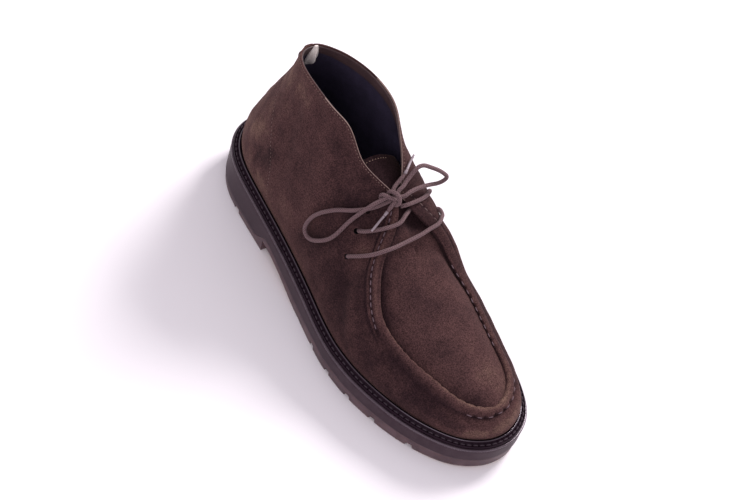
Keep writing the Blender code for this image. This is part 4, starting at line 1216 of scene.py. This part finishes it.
# ---- the sole ----
TREAD_COUNT = 480  # points round each layer of the sole
MIDSOLE_COUNT = 560
SOCK_COUNT = 320
WELT_COUNT = 1376


def even_knots(count, inset=0.0):
    """Knots at even distances round the sole's outline, and the distance round it."""
    fine = np.linspace(0, KNOTS, 4001)
    run = run_along(outline(fine, inset)[0])
    return np.interp(np.arange(count) * run[-1] / count, run, fine), run[-1]


def level_ring(at, inset, height):
    """A ring round the sole, with a height function of u."""
    ring, _ = outline(at, inset)
    return np.column_stack([ring, height(ring[:, 0])])


def layer(name, levels, finish, count):
    """A layer of the sole: a ring for each (inset, height), and a cap below and above."""
    at, _ = even_knots(count)
    rings = [level_ring(at, inset, height) for inset, height in levels]
    faces = list(grid_faces(len(levels), count, wrap_columns=True))
    for base in (0, (len(levels) - 1) * count):
        for i in range(count // 2):
            j = (count - i) % count
            face = [base + k for k in dict.fromkeys((i, i + 1, (j - 1) % count, j))]
            faces.append(face if base else face[::-1])
    return add_piece(name, to_frame(np.vstack(rings)), faces, finish)


def over(surface, height):
    """A height function that lies that far over a surface."""
    return lambda u: surface(u) + height


def cutter(points, faces, finish):
    """A mesh that cuts others and is removed afterwards; points in the frame's metres."""
    return add_mesh("cutter", points, faces, finish)


def cut(obj, cutters, solver, sharp):
    """Takes each cutter out of a piece, which stays smooth up to an angle between its faces."""
    for tool in cutters:
        boolean = obj.modifiers.new("cut", "BOOLEAN")
        boolean.object = tool
        boolean.operation = "DIFFERENCE"
        boolean.solver = solver
    evaluated = obj.evaluated_get(bpy.context.evaluated_depsgraph_get())
    made = bpy.data.meshes.new_from_object(evaluated)
    obj.modifiers.clear()
    old = obj.data
    obj.data = made
    bpy.data.meshes.remove(old)
    for tool in cutters:
        bpy.data.objects.remove(tool)
    made.shade_smooth()
    made.set_sharp_from_angle(angle=math.radians(sharp))


def channel_cutter(line, width):
    """One channel of the tread: a mitred strip with sloping sides, up to the channel's bottom."""
    line = np.asarray(line, float)
    runs = unit(np.diff(line, axis=0))
    before = np.vstack([runs[:1], runs])
    after = np.vstack([runs, runs[-1:]])
    side = np.stack([-(before + after)[:, 1], (before + after)[:, 0]], axis=1)
    side /= (1.0 + np.sum(before * after, axis=1))[:, None]
    n = len(line)
    points = []
    for z, wide in ((BELOW, width + CHANNEL_FLARE), (GROOVE_DEPTH, width - CHANNEL_FLARE / 2)):
        for edge in (line - side * wide / 2, line + side * wide / 2):
            points.append(np.column_stack([edge, np.full(n, z)]))
    corners = (0, n, 3 * n, 2 * n)
    faces = [corners, [c + n - 1 for c in corners[::-1]]]
    for k in range(n - 1):
        for a, b in zip(corners, corners[1:] + corners[:1]):
            faces.append((a + k, b + k, b + k + 1, a + k + 1))
    return cutter(to_frame(np.vstack(points)), faces, GUM)


def tread_channels():
    """Every channel of the tread as its line and width."""
    lines = [(line, HEEL_CHANNEL) for line in HEEL_CHANNELS]
    lines.append((TOE_CHANNEL, CHANNEL))
    for first, slant, inner in ((CROSS_LAT, SLANT_LAT, LONG_LAT), (CROSS_MED, SLANT_MED, LONG_MED)):
        edge = math.copysign(EDGE, inner)
        out = math.copysign(LONG_SWING, inner)
        long_line = [(LONG_START, inner - out)]
        for k in range(CROSS_COUNT):
            u = first + PITCH * k
            lines.append(([(u, edge), (u + slant, inner)], CHANNEL))
            long_line += [(u + slant, inner + out), (u + slant + PITCH / 2, inner - out)]
        lines.append((long_line, CHANNEL))
    for k in range(CROSS_COUNT):
        u = CROSS_LAT + SLANT_LAT + PITCH * (k + 0.5)
        lines.append(([(u, LONG_LAT), (u, LONG_MED)], CHANNEL))
    return lines


def waist_cutter():
    """What the arch takes out of the waist, as a prism across the sole."""
    steps = np.linspace(BREAST, ARCH_END, 33)
    profile = [(BREAST, BELOW), *zip(steps, arch_z(steps)), (ARCH_END, BELOW)]
    n = len(profile)
    points = to_frame([(u, side, z) for side in (-EDGE, EDGE) for u, z in profile])
    faces = [range(n), range(2 * n - 1, n - 1, -1)]
    faces += [(i, i + n, (i + 1) % n + n, (i + 1) % n) for i in range(n)]
    return cutter(points, faces, GUM)


def make_outsole():
    top = over(tread_top, -FIT_GAP)
    levels = [
        (2.2, spring),
        (1.3, over(spring, 0.25)),
        (0.85, over(spring, 0.9)),
        (0.75, over(spring, 2.2)),
        (0.55, lambda u: 0.5 * (2.2 + spring(u) + top(u))),
        (0.4, over(top, -0.5)),
        (0.7, top),
    ]
    outsole = layer("tread", levels, GUM, TREAD_COUNT)
    tools = [waist_cutter()] + [channel_cutter(line, width) for line, width in tread_channels()]
    cut(outsole, tools, "EXACT", 35)
    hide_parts("outsole")


BEAD_RING = 12  # the bead along the midsole's top edge starts at this ring
# The bead's section: inset from the sole's outline, height from the rim.
BEAD = [
    (0.3, -2.0), (0.35, -1.7), (0.1, -1.4), (-0.1, -1.0), (-0.05, -0.5), (0.25, -0.15),
    (0.8, 0.0), (1.3, -0.1), (2.4, -0.1),
]


def make_midsole():
    """Taupe band, with a rounded bead along its top edge."""
    levels = [(0.5, tread_top), (0.05, over(tread_top, 0.45))]
    for part in np.linspace(0.12, 0.9, 8):
        levels.append((0.05, lambda u, p=part: tread_top(u) + p * (rim_z(u) - 2.2 - tread_top(u))))
    levels += [(inset, over(rim_z, height)) for inset, height in BEAD]
    midsole = layer("midsole_band", levels, TAUPE, MIDSOLE_COUNT)
    ring = np.arange(len(midsole.data.polygons)) // MIDSOLE_COUNT
    # the bead takes the glossy finish that is paler by a painted highlight
    second_finish(midsole, TAUPE_RIM_PAINTED_HIGHLIGHT, (ring >= BEAD_RING) & (ring < len(levels) - 1))
    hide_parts("midsole")


WELT_PITCH = 4.3  # from one welt stitch to the next
WELT_STITCH = 3.3
WELT_CHANNEL = 3.0  # middle of the stitched channel, in from the sole's edge
WELT_LOW = WELT_TOP - 0.55  # the channel's bottom
# The welt's section: inset, height above the midsole's rim, share of the channel's marks.
WELT_RINGS = [
    (WELT_EDGE, FIT_GAP, 0.0),
    (WELT_EDGE, WELT_TOP - 1.0, 0.0),
    (WELT_EDGE + 0.08, WELT_TOP - 0.45, 0.0),
    (WELT_EDGE + 0.3, WELT_TOP - 0.12, 0.0),
    (WELT_EDGE + 0.5, WELT_TOP, 0.0),
    (1.95, WELT_TOP - 0.06, 0.5),
    (2.1, WELT_LOW + 0.1, 1.0),
    (2.6, WELT_LOW, 1.0),
    (3.4, WELT_LOW, 1.0),
    (3.9, WELT_LOW + 0.1, 1.0),
    (4.05, WELT_TOP - 0.05, 0.5),
    (4.2, WELT_TOP + 0.05, 0.0),
    (4.42, 2.9, 0.0),
    (4.65, 3.5, 0.0),
    (4.95, 3.9, 0.0),
    (5.25, 4.05, 0.0),
    (5.6, 3.9, 0.0),
    (5.9, 3.3, 0.0),
    (6.1, 2.6, 0.0),
    (6.3, WELT_TOP, 0.0),
    (SHELF, WELT_TOP, 0.0),
    (SHELF, FIT_GAP, 0.0),
]
LIP_RINGS = (13, 14)  # the glossy crest of the storm lip


def make_welt():
    at, length = even_knots(WELT_COUNT, WELT_CHANNEL)
    stitches = round(length / WELT_PITCH)
    marks = 0.26 * np.cos(np.arange(WELT_COUNT) / WELT_COUNT * stitches * 2 * math.pi)
    rings = [level_ring(at, inset, over(rim_z, rise + share * marks)) for inset, rise, share in WELT_RINGS]
    welt = ring_piece("welt_strip", rings, WELT)
    second_finish(welt, WELT_LIP, np.isin(np.arange(len(welt.data.polygons)) // WELT_COUNT, LIP_RINGS))
    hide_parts("welt")
    at, _ = even_knots(stitches, WELT_CHANNEL)
    places = level_ring(at, WELT_CHANNEL, over(rim_z, WELT_TOP - 0.5))
    ahead = np.roll(places, -1, axis=0) - np.roll(places, 1, axis=0)
    up = np.tile((0.0, 0.0, 1.0), (stitches, 1))
    stitch_row("welt_stitches", places, ahead, up, WELT_THREAD, WELT_STITCH, 0.52, 0.4)


def make_sock():
    inset = SHELF + FIT_GAP
    levels = [
        (inset, over(rim_z, FIT_GAP)),
        (inset, over(rim_z, INSOLE_TOP - 1.2)),
        (inset + 0.3, over(rim_z, INSOLE_TOP - 0.4)),
        (inset + 1.2, over(rim_z, INSOLE_TOP)),
    ]
    sock = layer("sock_liner", levels, SOCK, SOCK_COUNT)
    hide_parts("insole")


# ---- heel tab and pull tab ----
def make_heel_tab():
    """Short folded suede tab over the back seam, sewn down along its sides."""
    middle, half = HEEL_STRIP_ROWS
    ats = np.linspace(middle - half, middle + half, 25)
    across, up = np.linspace(-1, 1, 25), np.linspace(0, 1, 40)
    rises = np.linspace(*HEEL_STRIP_RISE, 40)
    front, back = (
        np.stack([to_frame(off_wall(ats, rise, height)) for rise in rises])
        for height in (STRIP_GAP + 0.5, 0.2)
    )
    puff = (1 - np.abs(across) ** 6) * (1 - np.abs(2 * up - 1) ** 8)[:, None]
    heavy = 1.0 + 0.9 * bell(up - 0.22, 0.2)[:, None]
    front = front + unit(front - back) * (puff * heavy * HEEL_STRIP_WALL * MM)[..., None]
    # paler than the wall, with painted shade along the sides where the tab meets the wall
    tone = 0.5 - 0.8 * np.abs(across) ** 10 + 0.1 * waves(front / MM, 5.0, 41)
    tab = closed_shell("heel_tab", front, back, SUEDE, tone)
    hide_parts("heel_strip")


def make_pull_tab():
    """Folded pale tape sewn inside the collar's back: a slim leaf that bulges off the lining."""
    across = np.linspace(-1, 1, 21)
    middle, half = PULL_TAB_ROWS
    low = PULL_TAB_RISE[0]
    near = WALL + STRIP_GAP * 0.5
    grids = ([], [])
    for share in np.linspace(0, 1, 48):
        slim = 0.30 + 1.15 * math.sin(math.pi * (0.04 + 0.9 * share)) ** 0.9
        ats = middle + across * half * slim
        rise = low - 0.02 + share * (1.0 - low) + 0.032 * share
        bulge = 4.6 * math.sin(math.pi * share) ** 1.4 * (1 - np.abs(across) ** 1.6)
        above = (0.0, 0.0, max(rise - 1.0, 0.0) * 90.0)
        for grid, depth in zip(grids, (near, near + PULL_TAB_WALL + bulge)):
            grid.append(to_frame(off_wall(ats, min(rise, 1.0), -depth) + above))
    tab = closed_shell("pull_tab_tape", *map(np.stack, grids), TAPE)
    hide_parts("pull_tab")


# ---- the lace ----
LACE_R = CORD_D / 2
LACE_STEP = 0.9
LEAVING = ((1.1, -4.0), (1.5, -0.9), (3.2, 1.1))  # lean and height of a lace out of its eyelet
AGLET_LENGTH = 17.0


def through(eyelet, turn, depth):
    """A point on an eyelet's axis, that deep behind the upper's face; turn is -1 on the medial side."""
    return off_wall([turn * eyelet[0] % KNOTS], eyelet[1], -depth)[0]


def leaving(eyelet, way):
    """Points of a crossing that comes up through a lateral eyelet and leans at once towards its way."""
    middle, above = through(eyelet, 1, 0.0), through(eyelet, 1, -1.0)
    normal = above - middle
    along = np.asarray(way) - middle
    along = unit(along - normal * along.dot(normal))
    return [middle + along * lean + normal * height for lean, height in LEAVING]


def make_bars():
    """The crossings, from eyelet to eyelet; the upper one goes up again under the inner flap."""
    for name, first, last, depths in (
        ("bar_lower", LATERAL_EYELETS[0], MEDIAL_EYELETS[0], (-0.6, 4.5)),
        ("bar_upper", LATERAL_EYELETS[1], MEDIAL_EYELETS[1], (4.5,)),
        ("bar_top", None, MEDIAL_EYELETS[1], (0.2, 4.5)),
    ):
        line = LACE[f"lace_{name}"]
        start = leaving(first, line[0]) if first else []
        line = start + line + [through(last, -1, depth) for depth in depths]
        bar = tube(name, smooth_route(line, LACE_STEP), LACE_R, LACE_FINISH)
        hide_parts(f"lace_{name}")


# The knot: a short turn beside it, then one tight wrap over the strands, closed behind them.
KNOT_WRAP = [
    (143.4, -8.2, 101.3), (143.0, -8.2, 104.0), (144.7, -7.5, 105.8), (147.5, -6.2, 106.5),
    (149.8, -4.0, 105.8), (151.4, -1.3, 103.8), (152.8, -1.2, 101.7), (150.3, -2.5, 100.4),
    (146.6, -3.3, 101.2), (144.4, -4.0, 104.1), (145.1, -3.6, 107.7), (148.0, -2.6, 109.6),
    (150.8, -1.9, 109.8), (153.0, -1.6, 108.3), (154.3, -1.9, 105.5), (153.2, -2.5, 102.8),
    (150.6, -2.5, 102.4),
]


def make_aglet(name, line):
    """Clear-coated tip: a slim tube that grips the cord's last stretch."""
    run = run_along(line)
    last = even(line[run >= run[-1] - AGLET_LENGTH], 0.5)
    place = np.linspace(0, 1, len(last))
    radius = 1.12 - 0.32 * ease(place, 0.0, 0.3) - 0.15 * ease(place, 0.85, 1.0)
    return tube(name, last, radius, AGLET, 16)


def make_free_cord(name, loop, end, first, between):
    """One loop of the bow and the end that it turns into inside the knot."""
    line = smooth_route([first, *LACE[loop], *between, *LACE[end]], LACE_STEP)
    run = run_along(line)
    aglet = make_aglet(f"{name}_aglet", line)
    inside = run[-1] - run
    radius = LACE_R - (LACE_R - 0.9) * ease(-inside, -AGLET_LENGTH - 2.5, -AGLET_LENGTH + 0.5)
    keep = inside > AGLET_LENGTH - 5.0
    cord = tube(name, line[keep], radius[keep], LACE_FINISH)
    path = even(line[keep], count=40)
    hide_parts(loop, end)
    tuple(to_frame([KNOT])[0])
    float(run_along(path)[-1] * MM)
    [tuple(p) for p in to_frame(path)]


def make_lace():
    make_bars()
    knot = tube("knot", smooth_route(KNOT_WRAP, 0.5), LACE_R * 0.92, LACE_FINISH)
    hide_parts("lace_knot")
    start, turn = (151.6, 0.6, 104.4), [(148.4, -0.6, 104.2)]
    make_free_cord("bow_lateral", "lace_loop_lateral", "lace_end_upper", start, turn)
    start, turn = (150.4, 0.8, 105.7), [(147.0, 1.6, 107.6), (149.4, -0.6, 105.6)]
    make_free_cord("bow_medial", "lace_loop_medial", "lace_end_lower", start, turn)


# ---- eyelets ----
def eyelet_cutters():
    """Round punches through suede and lining."""
    sides = 28
    tools = []
    for at, rise in LATERAL_EYELETS + [(KNOTS - row, rise) for row, rise in MEDIAL_EYELETS]:
        normal = Vector(frame_way(upper_normal([at], rise))[0])
        one, other, axis = np.array(normal.to_track_quat("Z", "Y").to_matrix()).T
        ring = to_frame(upper_point([at], rise)) + circle(sides, one, other) * PUNCH_R * MM
        points = np.vstack([ring + axis * end * MM for end in PUNCH])
        tools.append(cutter(points, tube_faces(2, sides), SUEDE))
    return tools


# ---- camera and light ----
VIEW_AZIMUTH = -49.81
VIEW_ELEVATION = 48.98
VIEW_ROLL = 20.09
VIEW_TARGET = (3.0, 0.0, 51.3)
VIEW_DISTANCE = 1201.4
VIEW_LENS = 87.36
VIEW_SHIFT = (-0.0057, 0.0007)
FLOOR_SIDE = 6.0


def add_object(name, data):
    obj = bpy.data.objects.new(name, data)
    bpy.context.scene.collection.objects.link(obj)
    return obj


def make_camera():
    azimuth, elevation, roll = (math.radians(v) for v in (VIEW_AZIMUTH, VIEW_ELEVATION, VIEW_ROLL))
    level = math.cos(elevation)
    back = Vector((math.sin(azimuth) * level, -math.cos(azimuth) * level, math.sin(elevation)))
    right = Vector((math.cos(azimuth), math.sin(azimuth), 0.0))
    up = back.cross(right)
    turned = right * math.cos(roll) + up * math.sin(roll)
    upright = up * math.cos(roll) - right * math.sin(roll)
    lens = bpy.data.cameras.new("camera")
    lens.lens = VIEW_LENS
    lens.sensor_width = 36.0
    lens.shift_x, lens.shift_y = VIEW_SHIFT
    lens.clip_start = 0.01
    camera = add_object("camera", lens)
    place = (Vector(VIEW_TARGET) + back * VIEW_DISTANCE) * MM
    turn = Matrix((turned, upright, back)).transposed().to_4x4()
    camera.matrix_world = Matrix.Translation(place) @ turn
    bpy.context.scene.camera = camera


def make_floor():
    made = Finish("floor_paint", Roughness=0.85, Specular_IOR_Level=0.1)
    cloud = made.noise(400.0)
    colour = made.mix(cloud, (0.86, 0.815, 0.865), (0.89, 0.845, 0.895))
    made.tree.links.new(colour, made.shader.inputs["Base Color"])
    mesh = bpy.data.meshes.new("floor")
    corners = [(x * FLOOR_SIDE, y * FLOOR_SIDE, 0.0) for x, y in ((-1, -1), (1, -1), (1, 1), (-1, 1))]
    mesh.from_pydata(corners, [], [(0, 1, 2, 3)])
    mesh.materials.append(made.material)
    floor = add_object("floor", mesh)


def make_light(name, place, size, power, colour):
    """A soft panel that faces the shoe."""
    lamp = bpy.data.lights.new(name, "AREA")
    lamp.energy = power
    lamp.shape = "RECTANGLE"
    lamp.size, lamp.size_y = size
    lamp.color = colour
    obj = add_object(name, lamp)
    obj.location = place
    obj.rotation_euler = (Vector((0.0, 0.0, 0.05)) - Vector(place)).to_track_quat("-Z", "Y").to_euler()


def make_stage():
    make_floor()
    world = bpy.data.worlds.new("room")
    world.use_nodes = True
    background = world.node_tree.nodes["Background"]
    background.inputs["Color"].default_value = (1.0, 0.965, 1.0, 1.0)
    background.inputs["Strength"].default_value = 0.75
    scene = bpy.context.scene
    scene.world = world
    make_light("key", (1.25, 0.3, 1.25), (0.55, 0.55), 31.0, (1.0, 0.985, 0.97))
    make_light("fill", (-1.0, -0.9, 1.0), (1.4, 1.0), 7.0, (0.97, 0.95, 1.0))
    scene.view_settings.view_transform = "Standard"
    scene.view_settings.look = "None"
    scene.view_settings.exposure = 0.0


# ---- the scene ----
make_camera()
make_lace()
upper_piece = make_upper()
lining_piece = make_lining()
for piece in (upper_piece, lining_piece):
    cut(piece, eyelet_cutters(), "MANIFOLD", 50)
apron_grid = make_apron()
make_tongue_stitches(apron_grid)
make_seam_stitches()
make_sewn_rows()
make_outsole()
make_midsole()
make_welt()
make_sock()
make_heel_tab()
make_pull_tab()
make_stage()
